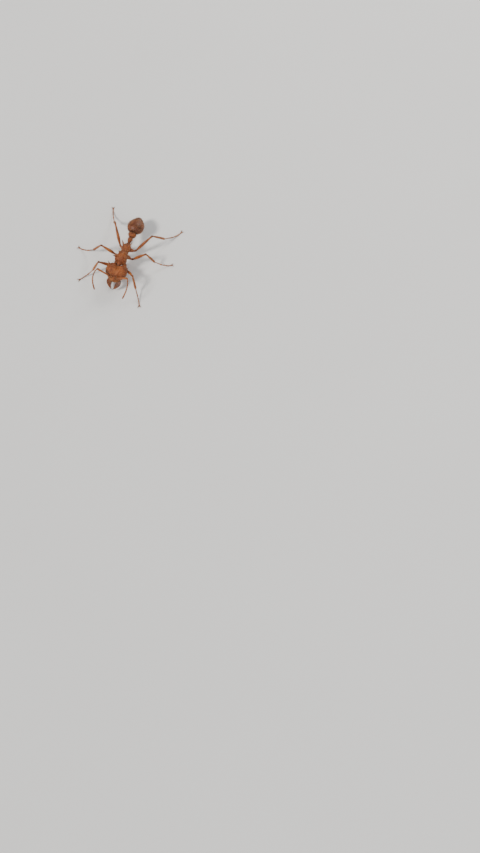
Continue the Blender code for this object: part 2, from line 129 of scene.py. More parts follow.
def ringWalls(rows, sides):
    # the faces between rings of points
    i, k = np.meshgrid(np.arange(rows - 1), np.arange(sides), indexing="ij")
    near, far = i * sides + k, i * sides + (k + 1) % sides
    return np.stack([near, far, far + sides, near + sides], -1).reshape(-1, 4).tolist()


def fan(sides, start, middle):
    # the faces between one ring and a point in its middle
    return [(start + k, start + (k + 1) % sides, middle) for k in range(sides)]


def closedTube(rings):
    # one closed mesh from an array of rings (rows, sides, 3), with a middle point at each end
    rows, sides = rings.shape[:2]
    points = np.vstack([rings.reshape(-1, 3), rings[0].mean(0), rings[-1].mean(0)])
    first = [(far, near, middle) for near, far, middle in fan(sides, 0, rows * sides)]
    return points, ringWalls(rows, sides) + first + fan(sides, (rows - 1) * sides, rows * sides + 1)


def flipped(faces):
    return faces[:, ::-1] if isinstance(faces, np.ndarray) else [face[::-1] for face in faces]


def joinMeshes(parts):
    points, faces, start = [], [], 0
    for some, their in parts:
        points.append(some)
        faces += [tuple(i + start for i in face) for face in their]
        start += len(some)
    return np.vstack(points), faces


def travelled(course):
    # the way gone at each point of a course
    return np.concatenate([[0], np.cumsum(lengthOf(np.diff(course, axis=0)))])


def onCourse(course, gone, at):
    return np.column_stack([np.interp(at, gone, course[:, axis]) for axis in range(3)])


def alongPath(points, count):
    # a smooth course through the points, and the share of its length at each place
    points = np.array(points, float)
    gone = travelled(points)
    fine = onCurve(np.column_stack([gone, points]), np.linspace(0, gone[-1], count * 4))
    gone = travelled(fine)
    at = np.linspace(0, gone[-1], count)
    return onCourse(fine, gone, at), at / gone[-1]


def bowed(start, end, share, bow):
    # a course from start to end that bends by the bow at its middle
    return start + np.outer(share, end - start) + np.outer(np.sin(math.pi * np.clip(share, 0, 1)), bow)


def limb(course, radii, sides):
    # a round tube along a course, its rings carried on without twist
    way = unit(np.gradient(course, axis=0))
    side = np.cross(way[0], up)
    side = unit(side if lengthOf(side) > 1e-3 else np.array([1.0, 0, 0]))
    across, rise = circle(sides)
    rings = []
    for point, ahead, radius in zip(course, way, radii):
        side = unit(side - ahead * side.dot(ahead))
        ring = point + np.outer(across, side) * radius
        rings.append(ring + np.outer(rise, np.cross(ahead, side)) * radius)
    return closedTube(np.array(rings))


def takenFrom(shape):
    # the points and faces of a bmesh, which is freed
    shape.verts.index_update()
    points = np.array([vert.co[:] for vert in shape.verts])
    faces = [tuple(vert.index for vert in face.verts) for face in shape.faces]
    shape.free()
    return points, faces


def ball(centre, radii, detail):
    shape = bmesh.new()
    bmesh.ops.create_icosphere(shape, subdivisions=detail, radius=1.0)
    points, faces = takenFrom(shape)
    return points * radii + centre, faces


thornCraft = {
    "sides": 16, "rows": 22, "sunk": -0.16, "bend": 0.05,
    "taper": [(-0.16, 1.12), (0.1, 0.92), (0.35, 0.68), (0.7, 0.36), (0.94, 0.14), (1.0, 0.03)],
}


def thorns(rows):
    # spines on both sides, each of which starts inside its plate and ends in a blunt point
    made = []
    for root, tip, radius in rows:
        for side in bothSides:
            start, end = mirrored(root, side), mirrored(tip, side)
            share = np.linspace(thornCraft["sunk"], 1.0, thornCraft["rows"])
            course = bowed(start, end, share, np.array([0, thornCraft["bend"], 0]) * lengthOf(end - start))
            made.append(limb(course, radius * onCurve(thornCraft["taper"], share)[:, 0], thornCraft["sides"]))
    return made


def newMesh(name, points, faces):
    mesh = bpy.data.meshes.new(name)
    mesh.from_pydata(np.asarray(points).tolist(), [], faces)
    return mesh


def newObject(name, data):
    made = bpy.data.objects.new(name, data)
    bpy.context.scene.collection.objects.link(made)
    return made


def numbersOf(items, key, count, kind):
    flat = np.empty(count, kind)
    items.foreach_get(key, flat)
    return flat


def largestIsland(points, faces):
    # leaves out the loose specks that a remesh can make beside the main skin
    label = np.arange(len(points))
    ends = np.stack([faces, np.roll(faces, 1, axis=1)], -1).reshape(-1, 2)
    while True:
        least = label[ends].min(1)
        nearer = label.copy()
        np.minimum.at(nearer, ends[:, 0], least)
        np.minimum.at(nearer, ends[:, 1], least)
        nearer = nearer[nearer]
        if (nearer == label).all():
            break
        label = nearer
    kept = label == np.bincount(label).argmax()
    place = np.cumsum(kept) - 1
    return points[kept], place[faces[kept[faces[:, 0]]]]


def remeshed(parts, voxel, smoothing):
    # the parts as one skin of even small faces, softened where they meet
    mesh = newMesh("work", *joinMeshes(parts))
    work = newObject("work", mesh)
    skin = work.modifiers.new("skin", "REMESH")
    skin.mode = "VOXEL"
    skin.voxel_size = voxel
    soften = work.modifiers.new("soften", "SMOOTH")
    soften.factor = 0.5
    soften.iterations = smoothing
    bpy.context.view_layer.update()
    settled = work.evaluated_get(bpy.context.evaluated_depsgraph_get())
    made = settled.to_mesh()
    points = numbersOf(made.vertices, "co", len(made.vertices) * 3, np.float32)
    corners = numbersOf(made.loops, "vertex_index", len(made.loops), np.int32)
    settled.to_mesh_clear()
    bpy.data.objects.remove(work)
    bpy.data.meshes.remove(mesh)
    return largestIsland(points.reshape(-1, 3).astype(float), corners.reshape(-1, 4))


def normalsOf(points, faces):
    # outward directions at the points of a mesh of quads
    each = np.cross(points[faces[:, 2]] - points[faces[:, 0]], points[faces[:, 3]] - points[faces[:, 1]])
    total = np.zeros_like(points)
    for corner in faces.T:
        np.add.at(total, corner, each)
    return unit(total)


def mixedNormals(points, faces):
    # outward directions where a mesh mixes quads and triangles
    mesh = newMesh("work", points, faces)
    flat = numbersOf(mesh.vertex_normals, "vector", len(points) * 3, np.float32)
    bpy.data.meshes.remove(mesh)
    return flat.reshape(-1, 3).astype(float)


# Turning arrays into the scene's pieces

headCraft = {
    "halfWidth": 1.56, "halfLength": 1.4, "halfDepth": 0.96,
    "place": (0.0, -3.1, 2.41), "dip": 35, "notch": 0.58,
    "eyePlace": (1.36, 0.2, 0.16), "eyeRadii": (0.165, 0.205, 0.195), "antennaSocket": (0.42, 0.62, 0.66),
}
headDip = math.radians(headCraft["dip"])
headTurn = np.array([[1, 0, 0], [0, -math.cos(headDip), -math.sin(headDip)],
                     [0, -math.sin(headDip), math.cos(headDip)]])


def fromHead(points):
    return points @ headTurn + headCraft["place"]


def toHead(points):
    return (points - headCraft["place"]) @ headTurn.T


# from the ant's own frame to where the solids stand, in millimetres along the floor
shift = (np.mean(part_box("eye_left"), axis=0) / toMetres - fromHead(headCraft["eyePlace"])) * (1, 1, 0)


def addPiece(name, points, faces, look, slot, replaced=(), **values):
    # a finished mesh in metres, with numbers from 0 to 1 for its material kept at its points
    faces = faces.tolist() if isinstance(faces, np.ndarray) else faces
    mesh = newMesh(name, (points + shift) * toMetres, faces)
    mesh.materials.append(looks[look])
    mesh.shade_smooth()
    for key, numbers in values.items():
        kept = mesh.attributes.new(key, "FLOAT", "POINT")
        kept.data.foreach_set("value", np.clip(numbers, 0, 1).astype(np.float32))
    mesh.update()
    piece = newObject(name, mesh)
    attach(piece, "root")
    if replaced:
        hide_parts(*replaced)
    return piece


# Materials


class Socket:
    def __init__(self, graph, link):
        self.graph, self.link = graph, link

    def math(self, operation, first, second):
        return self.graph.node("ShaderNodeMath", {"operation": operation}, {0: first, 1: second})

    def __add__(self, other):
        return self.math("ADD", self, other)

    def __sub__(self, other):
        return self.math("SUBTRACT", self, other)

    def __rsub__(self, other):
        return self.math("SUBTRACT", other, self)

    def __mul__(self, other):
        return self.math("MULTIPLY", self, other)

    __radd__ = __add__
    __rmul__ = __mul__


class Graph:
    def __init__(self, name):
        self.material = bpy.data.materials.new(name)
        self.material.use_nodes = True
        self.tree = self.material.node_tree
        self.shader = self.tree.nodes["Principled BSDF"]

    def node(self, kind, settings=None, inputs=None, output=0):
        # settings first: plain attributes, and "stops" for a ramp
        made = self.tree.nodes.new(kind)
        for key, value in (settings or {}).items():
            if key == "stops":
                ramp = made.color_ramp
                while len(ramp.elements) < len(value):
                    ramp.elements.new(0.5)
                for element, (place, colour) in zip(ramp.elements, value):
                    element.position = place
                    element.color = (*colour, 1)
            else:
                setattr(made, key, value)
        for key, value in (inputs or {}).items():
            self.set(made.inputs[key], value)
        return Socket(self, made.outputs[output])

    def set(self, slot, value):
        if isinstance(value, Socket):
            self.tree.links.new(value.link, slot)
        else:
            slot.default_value = (*value, 1) if slot.type == "RGBA" else value

    def finish(self, **inputs):
        # baseColor=... sets the shader's Base Color, and so on
        for key, value in inputs.items():
            spaced = "".join(" " + c if c.isupper() else c for c in key)
            self.set(self.shader.inputs[spaced.title().replace("Ior", "IOR")], value)
        return self.material

    def place(self):
        # where a point is on the ant, in millimetres
        metres = self.node("ShaderNodeTexCoord", output=3)
        return self.node("ShaderNodeVectorMath", {"operation": "SCALE"}, {0: metres, "Scale": 1 / toMetres})

    def noise(self, *values):
        inputs = zip(("Scale", "Detail", "Roughness", "Distortion", "Vector"), values)
        return self.node("ShaderNodeTexNoise", {"noise_dimensions": "3D"}, dict(inputs))

    def cells(self, scale, place, randomness=1.0):
        inputs = {"Scale": scale, "Randomness": randomness, "Vector": place}
        return self.node("ShaderNodeTexVoronoi", {"feature": "F1"}, inputs)

    def kept(self, key):
        return self.node("ShaderNodeAttribute", {"attribute_name": key}, output=2)

    def steps(self, value, stops):
        return self.node("ShaderNodeValToRGB", {"stops": stops}, {"Fac": value})

    def between(self, low, high, value):
        inputs = {"Value": value, "From Min": low, "From Max": high}
        return self.node("ShaderNodeMapRange", {"interpolation_type": "SMOOTHSTEP"}, inputs)

    def mix(self, share, first, second):
        return self.node("ShaderNodeMix", {"data_type": "RGBA"}, {0: share, 6: first, 7: second}, output=2)

    def bump(self, height, strength, distance):
        inputs = {"Strength": strength, "Distance": distance, "Height": height}
        return self.node("ShaderNodeBump", inputs=inputs)


shellFinishes = {
    "headShell": {"deep": (0.07, 0.014, 0.004), "mid": (0.225, 0.05, 0.011), "pale": (0.4, 0.112, 0.022),
                  "dark": (0.018, 0.004, 0.002), "rough": 0.62, "grain": 15.0, "relief": 0.85, "gloss": 0.0},
    "trunkShell": {"deep": (0.074, 0.015, 0.005), "mid": (0.22, 0.051, 0.012), "pale": (0.38, 0.11, 0.023),
                   "dark": (0.019, 0.004, 0.002), "rough": 0.64, "grain": 13.0, "relief": 0.95, "gloss": 0.0},
    "gasterShell": {"deep": (0.036, 0.008, 0.003), "mid": (0.11, 0.024, 0.007), "pale": (0.225, 0.06, 0.016),
                    "dark": (0.012, 0.003, 0.002), "rough": 0.46, "grain": 18.0, "relief": 0.55,
                    "gloss": 0.06},
    "limbShell": {"deep": (0.105, 0.022, 0.006), "mid": (0.29, 0.076, 0.016), "pale": (0.47, 0.155, 0.034),
                  "dark": (0.032, 0.007, 0.003), "rough": 0.5, "grain": 17.0, "relief": 0.55, "gloss": 0.04},
    "jawShell": {"deep": (0.048, 0.01, 0.004), "mid": (0.14, 0.031, 0.008), "pale": (0.26, 0.07, 0.015),
                 "dark": (0.006, 0.003, 0.002), "rough": 0.44, "grain": 11.0, "relief": 0.3, "gloss": 0.08},
}


def shellLook(name):
    # chitin: mottled rust to amber, closely pitted, dull with a soft sheen, with painted shade in its sunk
    # pits and pores, darker where "tone" says so
    tune = shellFinishes[name]
    graph = Graph(name)
    place = graph.place()
    broad = graph.noise(0.9, 3, 0.5, 0.3, place)
    cloud = graph.noise(4.5, 5, 0.62, 0.2, place)
    fine = graph.noise(tune["grain"] * 2.2, 4, 0.65, 0.0, place)
    pit = graph.between(0.05, 0.62, graph.cells(tune["grain"], place))
    pore = graph.between(0.03, 0.16, graph.cells(tune["grain"] * 0.36, place))
    tone = graph.kept("tone")
    stops = [(0.36, tune["deep"]), (0.49, tune["mid"]), (0.62, tune["pale"])]
    colour = graph.steps(broad * 0.5 + cloud * 0.5, stops)
    # the sunk centres of the pits and pores are darkened: painted shade in them
    for share, other in (((1 - pit) * 0.38, "deep"), ((1 - pore) * 0.45, "dark"), (fine * 0.16, "pale"),
                         (tone, "dark")):
        colour = graph.mix(share, colour, tune[other])
    rough = tune["rough"] + (fine - 0.5) * 0.24 + (1 - pit) * 0.1 - tone * 0.06
    height = pit * 0.6 + fine * 0.32 + pore * 0.2
    return graph.finish(baseColor=colour, roughness=rough, specularIorLevel=0.42,
                        normal=graph.bump(height, tune["relief"], 0.000018),
                        coatWeight=tune["gloss"], coatRoughness=0.24,
                        subsurfaceWeight=0.08, subsurfaceRadius=(1.0, 0.35, 0.12), subsurfaceScale=0.00012)


def hairLook(name, root, tip):
    # a stiff translucent bristle, darker at its root
    graph = Graph(name)
    vary = graph.noise(3.0, 2, 0.5, 0.0, graph.place())
    colour = graph.mix(vary * 0.35, graph.mix(graph.kept("along"), root, tip), root)
    return graph.finish(baseColor=colour, roughness=0.34 + vary * 0.14, coatWeight=0.1)


def eyeLook():
    # a black compound eye of small lenses, wet-looking, with a brown depth between them
    graph = Graph("eyeLenses")
    place = graph.place()
    broad = graph.noise(6.0, 3, 0.5, 0.0, place)
    dome = 1 - graph.between(0.0, 0.62, graph.cells(27.0, place, 0.35))
    colour = graph.mix(dome, (0.014, 0.006, 0.004), (0.004, 0.003, 0.003))
    colour = graph.mix(broad * 0.4, colour, (0.028, 0.011, 0.006))
    rough = 0.2 + (1 - dome) * 0.18 + broad * 0.05
    return graph.finish(baseColor=colour, roughness=rough, normal=graph.bump(dome, 0.55, 0.000008),
                        specularIorLevel=0.3, coatWeight=0.22, coatRoughness=0.1)


def membraneLook():
    # the thin folded skin between plates, dark brown and darkest in the low parts of its folds: painted shade
    # in them
    graph = Graph("jointSkin")
    folds = graph.noise(12.0, 4, 0.6, 0.6, graph.place())
    stops = [(0.3, (0.05, 0.014, 0.005)), (0.55, (0.13, 0.04, 0.014)), (0.8, (0.22, 0.085, 0.032))]
    return graph.finish(baseColor=graph.steps(folds, stops), roughness=0.4 + folds * 0.2,
                        normal=graph.bump(folds, 0.5, 0.000014))


looks = {name: shellLook(name) for name in shellFinishes}
looks["eye"] = eyeLook()
looks["joint"] = membraneLook()
looks["hair"] = hairLook("goldenHair", (0.34, 0.125, 0.034), (0.74, 0.44, 0.17))
looks["darkHair"] = hairLook("rustHair", (0.3, 0.105, 0.028), (0.7, 0.38, 0.14))
print("finishes made:", len(looks))


# Small forms that several plates share


def unevenness(points, size, seed):
    # gentle lumps about the given size across, from crossed waves, near -1 to 1
    waves = np.random.default_rng(seed)
    ways = unit(waves.normal(size=(14, 3))) * (math.pi / size)
    return np.sin(points @ ways.T + waves.uniform(0, 6.28, 14)).sum(1) / 14 * 2.2


def lumps(points, height, waves):
    # lumps of several sizes, each wave as (size, share, seed)
    return height * sum(share * unevenness(points, size, seed) for size, share, seed in waves)


def nearness(points, spots, width):
    # how near each point is to the nearest of the spots, 1 at it and fading over the width
    best = np.zeros(len(points))
    for spot in spots:
        best = np.maximum(best, bump(lengthOf(points - spot), width))
    return best


def alongLine(points, stations, width):
    # how near each point is to a drawn line of straight steps
    best = np.full(len(points), 1e9)
    stations = np.array(stations, float)
    for start, end in zip(stations, stations[1:]):
        reach = end - start
        share = np.clip((points - start) @ reach / reach.dot(reach), 0, 1)
        best = np.minimum(best, lengthOf(points - start - np.outer(share, reach)))
    return bump(best, width)


def drawn(points, lines, rounds, shown):
    # how far each place stands out from a plain form, and how dark it is. Each line or round ends with its
    # width, its height, its darkness and the share that shows at each place
    views = {"above": points[:, :2], "side": points[:, 1:]}
    height, dark = np.zeros(len(points)), np.zeros(len(points))
    for view, stations, width, rise, tone, where in lines:
        near = alongLine(views[view], stations, width) * shown[where]
        height += rise * near
        dark += tone * near
    for centre, stretch, radius, width, rise, tone, where in rounds:
        near = bump(lengthOf((points - centre) * stretch) - radius, width) * shown[where]
        height += rise * near
        dark += tone * near
    return height, dark


def scattered(points, faces, count, weight):
    # random places over a mesh and their outward directions; the weights say where more of them fall
    directions = normalsOf(points, faces)
    corners = points[faces[:, :3]]
    area = lengthOf(np.cross(corners[:, 1] - corners[:, 0], corners[:, 2] - corners[:, 0]))
    area = area * weight[faces].mean(1)
    chosen = rng.choice(len(faces), count, p=area / area.sum())
    shares = rng.dirichlet(np.ones(faces.shape[1]), count)[:, :, None]
    spots = (points[faces[chosen]] * shares).sum(1)
    return spots, unit((directions[faces[chosen]] * shares).sum(1))


def makeShell(name, tune, body, relieve, look, nodes, place=None):
    # one plate of the shell: a skin round its body and spines, carved and darkened as its own relief says,
    # with painted shade in its hollows and grooves
    points, faces = remeshed([body, *thorns(tune["spines"])], tune["voxel"], tune["smoothing"])
    relief, dark, back = relieve(points)
    if "knobs" in tune:
        count, width, height = tune["knobs"]
        relief = relief + height * nearness(points, scattered(points, faces, count, 0.05 + back)[0], width)
    tipWidth, tipDark = tune["tips"]
    tips = [mirrored(tip, side) for _, tip, _ in tune["spines"] for side in bothSides]
    dark = dark + tipDark * nearness(points, tips, tipWidth)
    relief = relief + lumps(points, *tune["lumps"])
    points = points + normalsOf(points, faces) * relief[:, None]
    dark = dark + lumps(points, *tune["clouds"])
    if place:
        points, faces = place(points), flipped(faces)
    addPiece(name, points, faces, look, "cuticle", nodes, tone=dark)
    print(name, "points:", len(points))
    return points, faces


# Head

headDetail = {
    "power": 2.5, "sphereDetail": 7, "voxel": 0.021, "smoothing": 6, "knobs": (170, 0.03, 0.018),
    "spines": [((1.05, -0.95, 0.34), (1.42, -1.45, 0.72), 0.15),
               ((1.22, -0.8, -0.2), (1.5, -1.2, -0.34), 0.11)],
    "tips": (0.22, 0.75), "lumps": (0.0035, [(0.3, 1, 5), (0.08, 0.5, 6)]), "clouds": (0.1, [(0.5, 1, 7)]),
    # frontal ridges, middle furrow, frontal triangle, edge and keels of the clypeus, cheeks, throat
    "lines": [
        ("above", [(0.27, 0.86), (0.27, 0.55), (0.36, 0.22), (0.52, -0.2), (0.62, -0.52)],
         0.05, 0.055, 0.3, "brow"),
        # the darkness of the sunk furrow, frontal triangle, clypeus edge and throat lines below is painted
        # shade in them
        ("above", [(0.0, 0.36), (0.0, -0.95)], 0.024, -0.035, 0.5, "top"),
        ("above", [(0.0, 0.34), (0.15, 0.6)], 0.026, -0.03, 0.4, "top"),
        ("above", [(0.15, 0.6), (0.3, 0.86), (0.56, 0.98), (0.82, 0.98)], 0.03, -0.035, 0.55, "top"),
        ("above", [(0.16, 0.78), (0.2, 1.18)], 0.035, 0.025, 0.0, "top"),
        ("above", [(0.88, 0.96), (1.1, 0.58), (1.16, 0.42)], 0.05, 0.02, 0.0, "top"),
        ("above", [(0.0, 0.95), (0.0, -0.7)], 0.03, -0.03, 0.3, "under"),
    ],
    # antenna pits and their rims, orbits and the trench inside them, room for the jaws
    "rounds": [
        # the darkness in the antenna pits, in the orbits' trench and in the room for the jaws is painted
        # shade in those hollows
        ((0.42, 0.66, 0.6), (1, 0.85, 0.75), 0.0, 0.17, -0.2, 0.75, "top"),
        ((0.42, 0.66, 0.6), (1, 0.85, 0.75), 0.235, 0.05, 0.035, 0.0, "rim"),
        (headCraft["eyePlace"], (0.8, 0.95, 1.0), 0.245, 0.035, 0.03, 0.25, "all"),
        (headCraft["eyePlace"], (0.8, 0.95, 1.0), 0.195, 0.03, -0.05, 0.65, "all"),
        ((0.78, 1.14, -0.12), (1, 1, 1.2), 0.0, 0.2, -0.16, 0.7, "all"),
    ],
}


def headShape(directions):
    # the heart-shaped capsule from points of the unit sphere, in the head's own frame
    power = headDetail["power"]
    stretch = (np.abs(directions) ** power).sum(1) ** (-1 / power)
    a, b, c = (directions * stretch[:, None]).T
    narrow = 1 - 0.42 * smoothStep(-0.15, 1.05, b)
    thin = (1 - 0.4 * smoothStep(-0.1, 1.0, b)) * (1 - 0.26 * smoothStep(-0.35, -1.0, b))
    x = headCraft["halfWidth"] * a * narrow
    y = headCraft["halfLength"] * b
    z = headCraft["halfDepth"] * c * thin
    top = np.maximum(c, 0)
    y = y + headCraft["notch"] * bump(x, 0.5) * smoothStep(-0.25, -1.0, b) * (0.78 + 0.22 * c)
    z = z - 0.16 * bump(x, 0.3) * smoothStep(0.25, -0.85, b) * top
    lobes = bump(np.abs(x) - 0.4, 0.15) * bump(y - 0.52, 0.34) * top
    clypeus = bump(x, 0.34) * bump(y - 1.02, 0.3) * top
    return np.column_stack([x, y, z + 0.15 * lobes + 0.08 * clypeus])


def headRelief(points):
    x, y, z = folded(points).T
    top = smoothStep(-0.05, 0.25, z)
    shown = {"all": 1, "top": top, "under": smoothStep(0.1, -0.2, z),
             "brow": top * smoothStep(-0.62, -0.25, y),
             "rim": top * (0.4 + 0.6 * smoothStep(0.46, 0.62, x) * top)}
    relief, dark = drawn(folded(points), headDetail["lines"], headDetail["rounds"], shown)
    back = smoothStep(0.5, -0.6, y) * smoothStep(-0.45, 0.1, z)
    return relief, dark + 0.45 * smoothStep(1.12, 1.34, y), back


def makeEye(side):
    points, faces = ball((0, 0, 0), headCraft["eyeRadii"], 6)
    lenses = unevenness(points, 0.02, 11)
    points = mirrored(headCraft["eyePlace"], side) + points * (1 + 0.006 * lenses[:, None])
    name = sideName(side)
    addPiece(f"eyeball_{name}", fromHead(points), flipped(faces), "eye", "eye", [f"eye_{name}"])


sphere, sphereFaces = ball((0, 0, 0), (1, 1, 1), headDetail["sphereDetail"])
headBody = headShape(unit(sphere)), sphereFaces
headSkin = makeShell("headCapsule", headDetail, headBody, headRelief, "headShell", ["head"], fromHead)
for side in bothSides:
    makeEye(side)


# Trunk, waist and gaster


def bodyTube(profile, rows, sides, fullness):
    # a body along y with rounded-box sections, from rows of (y, half width, top, bottom)
    start, end = profile[0][0], profile[-1][0]
    y = start + (end - start) * eased(np.arange(rows) / (rows - 1))
    width, top, bottom = onCurve(profile, y).T
    across, rise = circle(sides)
    stretch = (np.abs(across) ** fullness + np.abs(rise) ** fullness) ** (-1 / fullness)
    x = np.outer(width, across * stretch)
    z = ((top + bottom) / 2)[:, None] + np.outer((top - bottom) / 2, rise * stretch)
    return closedTube(np.stack([x, np.broadcast_to(y[:, None], x.shape), z], -1))


trunkCraft = {
    "profile": [(-2.02, 0.25, 2.97, 2.5), (-1.84, 0.31, 3.04, 2.42), (-1.62, 0.6, 3.3, 2.28),
                (-1.32, 0.84, 3.54, 2.1), (-0.92, 0.86, 3.68, 2.0), (-0.5, 0.73, 3.68, 1.96),
                (-0.06, 0.62, 3.52, 1.94), (0.28, 0.55, 3.26, 1.94), (0.55, 0.57, 3.2, 1.95),
                (0.95, 0.62, 3.26, 1.98), (1.32, 0.59, 3.14, 2.02), (1.62, 0.48, 2.92, 2.08),
                (1.86, 0.32, 2.7, 2.16), (1.96, 0.24, 2.6, 2.22)],
    "tube": (200, 150, 2.3), "voxel": 0.021, "smoothing": 6, "knobs": (110, 0.028, 0.018),
    "spines": [((0.62, -1.12, 3.34), (1.12, -1.36, 3.98), 0.17),
               ((0.34, -0.4, 3.48), (0.52, -0.44, 4.04), 0.14),
               ((0.34, 1.0, 3.02), (0.8, 1.62, 3.74), 0.17),
               ((0.66, -1.22, 2.4), (1.04, -1.42, 2.2), 0.11)],
    "tips": (0.3, 0.8), "lumps": (0.0045, [(0.28, 1, 21), (0.08, 0.5, 22)]), "clouds": (0.1, [(0.5, 1, 23)]),
    "seams": [(-0.62, 24), (0.4, -14)], "seamHeight": 2.8, "seamDepth": 0.085, "seamWidth": 0.045,
    # under the shield, between the side plates and over the hips, then the low ridges along the back
    "lines": [
        # the darkness along these sunk grooves is painted shade in them
        ("side", [(-1.5, 2.62), (-1.0, 2.5), (-0.72, 2.42)], 0.034, -0.045, 0.45, "flank"),
        ("side", [(-0.6, 2.98), (-0.2, 2.72), (0.36, 2.66)], 0.034, -0.0405, 0.45, "flank"),
        ("side", [(-0.46, 2.34), (-0.05, 2.46), (0.34, 2.34)], 0.034, -0.0315, 0.45, "flank"),
        ("side", [(0.52, 2.88), (0.92, 2.62), (1.48, 2.62)], 0.034, -0.036, 0.45, "flank"),
        ("above", [(0.3, -0.28), (0.24, 0.3)], 0.05, 0.04, 0.0, "top"),
        ("above", [(0.28, 0.55), (0.32, 1.02), (0.36, 1.5)], 0.05, 0.035, 0.2, "back"),
    ],
    # breathing hole and its rim, the gland's swelling and its opening
    "rounds": [
        # the darkness in the breathing hole and in the gland's opening is painted shade in them
        ((0.62, 0.98, 2.86), 1, 0.0, 0.05, -0.07, 0.0, "all"),
        ((0.62, 0.98, 2.86), 1, 0.09, 0.03, 0.02, 0.0, "all"),
        ((0.62, 0.98, 2.86), 1, 0.0, 0.06, 0.0, 0.7, "all"),
        ((0.56, 1.38, 2.36), (1, 0.8, 1), 0.0, 0.17, 0.035, 0.0, "all"),
        ((0.58, 1.52, 2.3), 1, 0.0, 0.045, -0.06, 0.0, "all"),
        ((0.58, 1.52, 2.3), 1, 0.0, 0.06, 0.0, 0.6, "all"),
    ],
}
legRoots = {
    "front": ((0.44, -1.3, 2.34), (0.98, -1.66, 1.6)),
    "mid": ((0.4, 0.02, 2.22), (1.02, 0.12, 1.6)),
    "hind": ((0.38, 1.12, 2.26), (0.98, 1.48, 1.62)),
}


def seamDistance(points, y, lean):
    tilt = math.radians(lean)
    return (points[:, 1] - y) * math.cos(tilt) - (points[:, 2] - trunkCraft["seamHeight"]) * math.sin(tilt)


def trunkRelief(points):
    tune = trunkCraft
    x, y, z = folded(points).T
    top = smoothStep(2.75, 3.05, z)
    shown = {"all": 1, "top": top, "back": smoothStep(2.7, 2.95, z),
             "flank": smoothStep(0.25, 0.5, x) * smoothStep(3.35, 3.05, z)}
    relief, dark = drawn(folded(points), tune["lines"], tune["rounds"], shown)
    # each seam is a sunk groove, darkened along it: painted shade in the groove
    for place, lean in tune["seams"]:
        away = seamDistance(points, place, lean)
        relief -= tune["seamDepth"] * bump(away, tune["seamWidth"]) + 0.03 * bump(away - 0.06, 0.12)
        dark += 0.52 * bump(away, 0.05)
    # a hollow with a raised rim where each hip is set in, darkened below as painted shade in it
    below = smoothStep(2.75, 2.35, z)
    for root, hip in legRoots.values():
        way = unit(np.subtract(hip, root))
        reach = folded(points) - root
        away = lengthOf(reach - np.outer(reach @ way, way))
        relief += (0.045 * bump(away - 0.43, 0.06) - 0.1 * bump(away, 0.3)) * below
        dark += 0.55 * bump(away, 0.34) * below
    # furrows between the ridges, and the collar, a shallow groove darkened as painted shade in it; the back
    # end is darker where the waist joins
    relief -= 0.045 * bump(x, 0.2) * smoothStep(0.5, 0.8, y) * smoothStep(2.75, 3.0, z)
    relief -= 0.03 * bump(x, 0.11) * smoothStep(-0.56, -0.3, y) * smoothStep(0.36, 0.2, y) * top
    collar = bump(y + 1.66, 0.07)
    dark += 0.35 * collar + 0.4 * smoothStep(1.75, 1.95, y)
    return relief - 0.04 * collar, dark, smoothStep(2.7, 3.2, z)


trunkBody = bodyTube(trunkCraft["profile"], *trunkCraft["tube"])
trunkSkin = makeShell("trunkShell", trunkCraft, trunkBody, trunkRelief, "trunkShell",
                      ["pronotum", "mesothorax", "propodeum"])

waistCraft = {
    "petiole": {
        "profile": [(1.9, 0.16, 2.54, 2.28), (2.04, 0.2, 2.58, 2.24), (2.2, 0.22, 2.63, 2.2),
                    (2.42, 0.3, 2.86, 2.13), (2.62, 0.34, 2.98, 2.09), (2.8, 0.29, 2.84, 2.12),
                    (2.93, 0.2, 2.64, 2.22), (3.02, 0.15, 2.56, 2.3)],
        "spines": [((0.16, 2.6, 2.84), (0.24, 2.66, 3.15), 0.075)],
        "tips": (0.14, 0.7), "tube": (80, 90, 2.2),
        "ends": [(1.95, 0.1, 0.7), (2.98, 0.08, 0.8)], "flank": (2.36, 0.12, 0.2, 0.03),
        "lumps": (0.006, [(0.12, 1, 31), (0.06, 0.6, 32)]), "furrow": (0.08, 0.03, 1.5),
    },
    "postpetiole": {
        "profile": [(2.95, 0.22, 2.66, 2.2), (3.06, 0.33, 2.78, 2.1), (3.22, 0.49, 2.92, 2.0),
                    (3.42, 0.59, 2.99, 1.96), (3.6, 0.59, 2.94, 1.98), (3.72, 0.46, 2.82, 2.08),
                    (3.8, 0.34, 2.72, 2.18)],
        "spines": [],
        "tips": (0.14, 0.7), "tube": (80, 110, 2.3),
        "ends": [(3.0, 0.08, 0.8), (3.78, 0.09, 0.8)], "flank": (2.38, 0.2, 0.35, 0.04),
        "lumps": (0.007, [(0.13, 1, 33), (0.06, 0.6, 34)]), "furrow": (0.14, 0.045, 3.2),
    },
}


def makeNode(name):
    # one node of the waist, furrowed along its top and creased along its flanks, with painted shade in the
    # crease and darker ends
    tune = {"voxel": 0.019, "smoothing": 4, "clouds": (0, []), **waistCraft[name]}

    def relieve(points):
        x, y, z = points.T
        level, near, far, depth = tune["flank"]
        flank = bump(z - level, 0.03) * smoothStep(near, far, np.abs(x))
        width, sunk, start = tune["furrow"]
        furrow = bump(x, width) * smoothStep(2.7, 2.85, z) * smoothStep(start, start + 0.3, y)
        dark = sum(tone * bump(y - place, reach) for place, reach, tone in tune["ends"])
        # the crease along the flanks is darkened: painted shade in it
        return -depth * flank - sunk * furrow, dark + 0.35 * flank, None

    body = bodyTube(tune["profile"], *tune["tube"])
    return makeShell(f"{name}Node", tune, body, relieve, "trunkShell", [name])


waistSkins = [makeNode(name) for name in waistCraft]

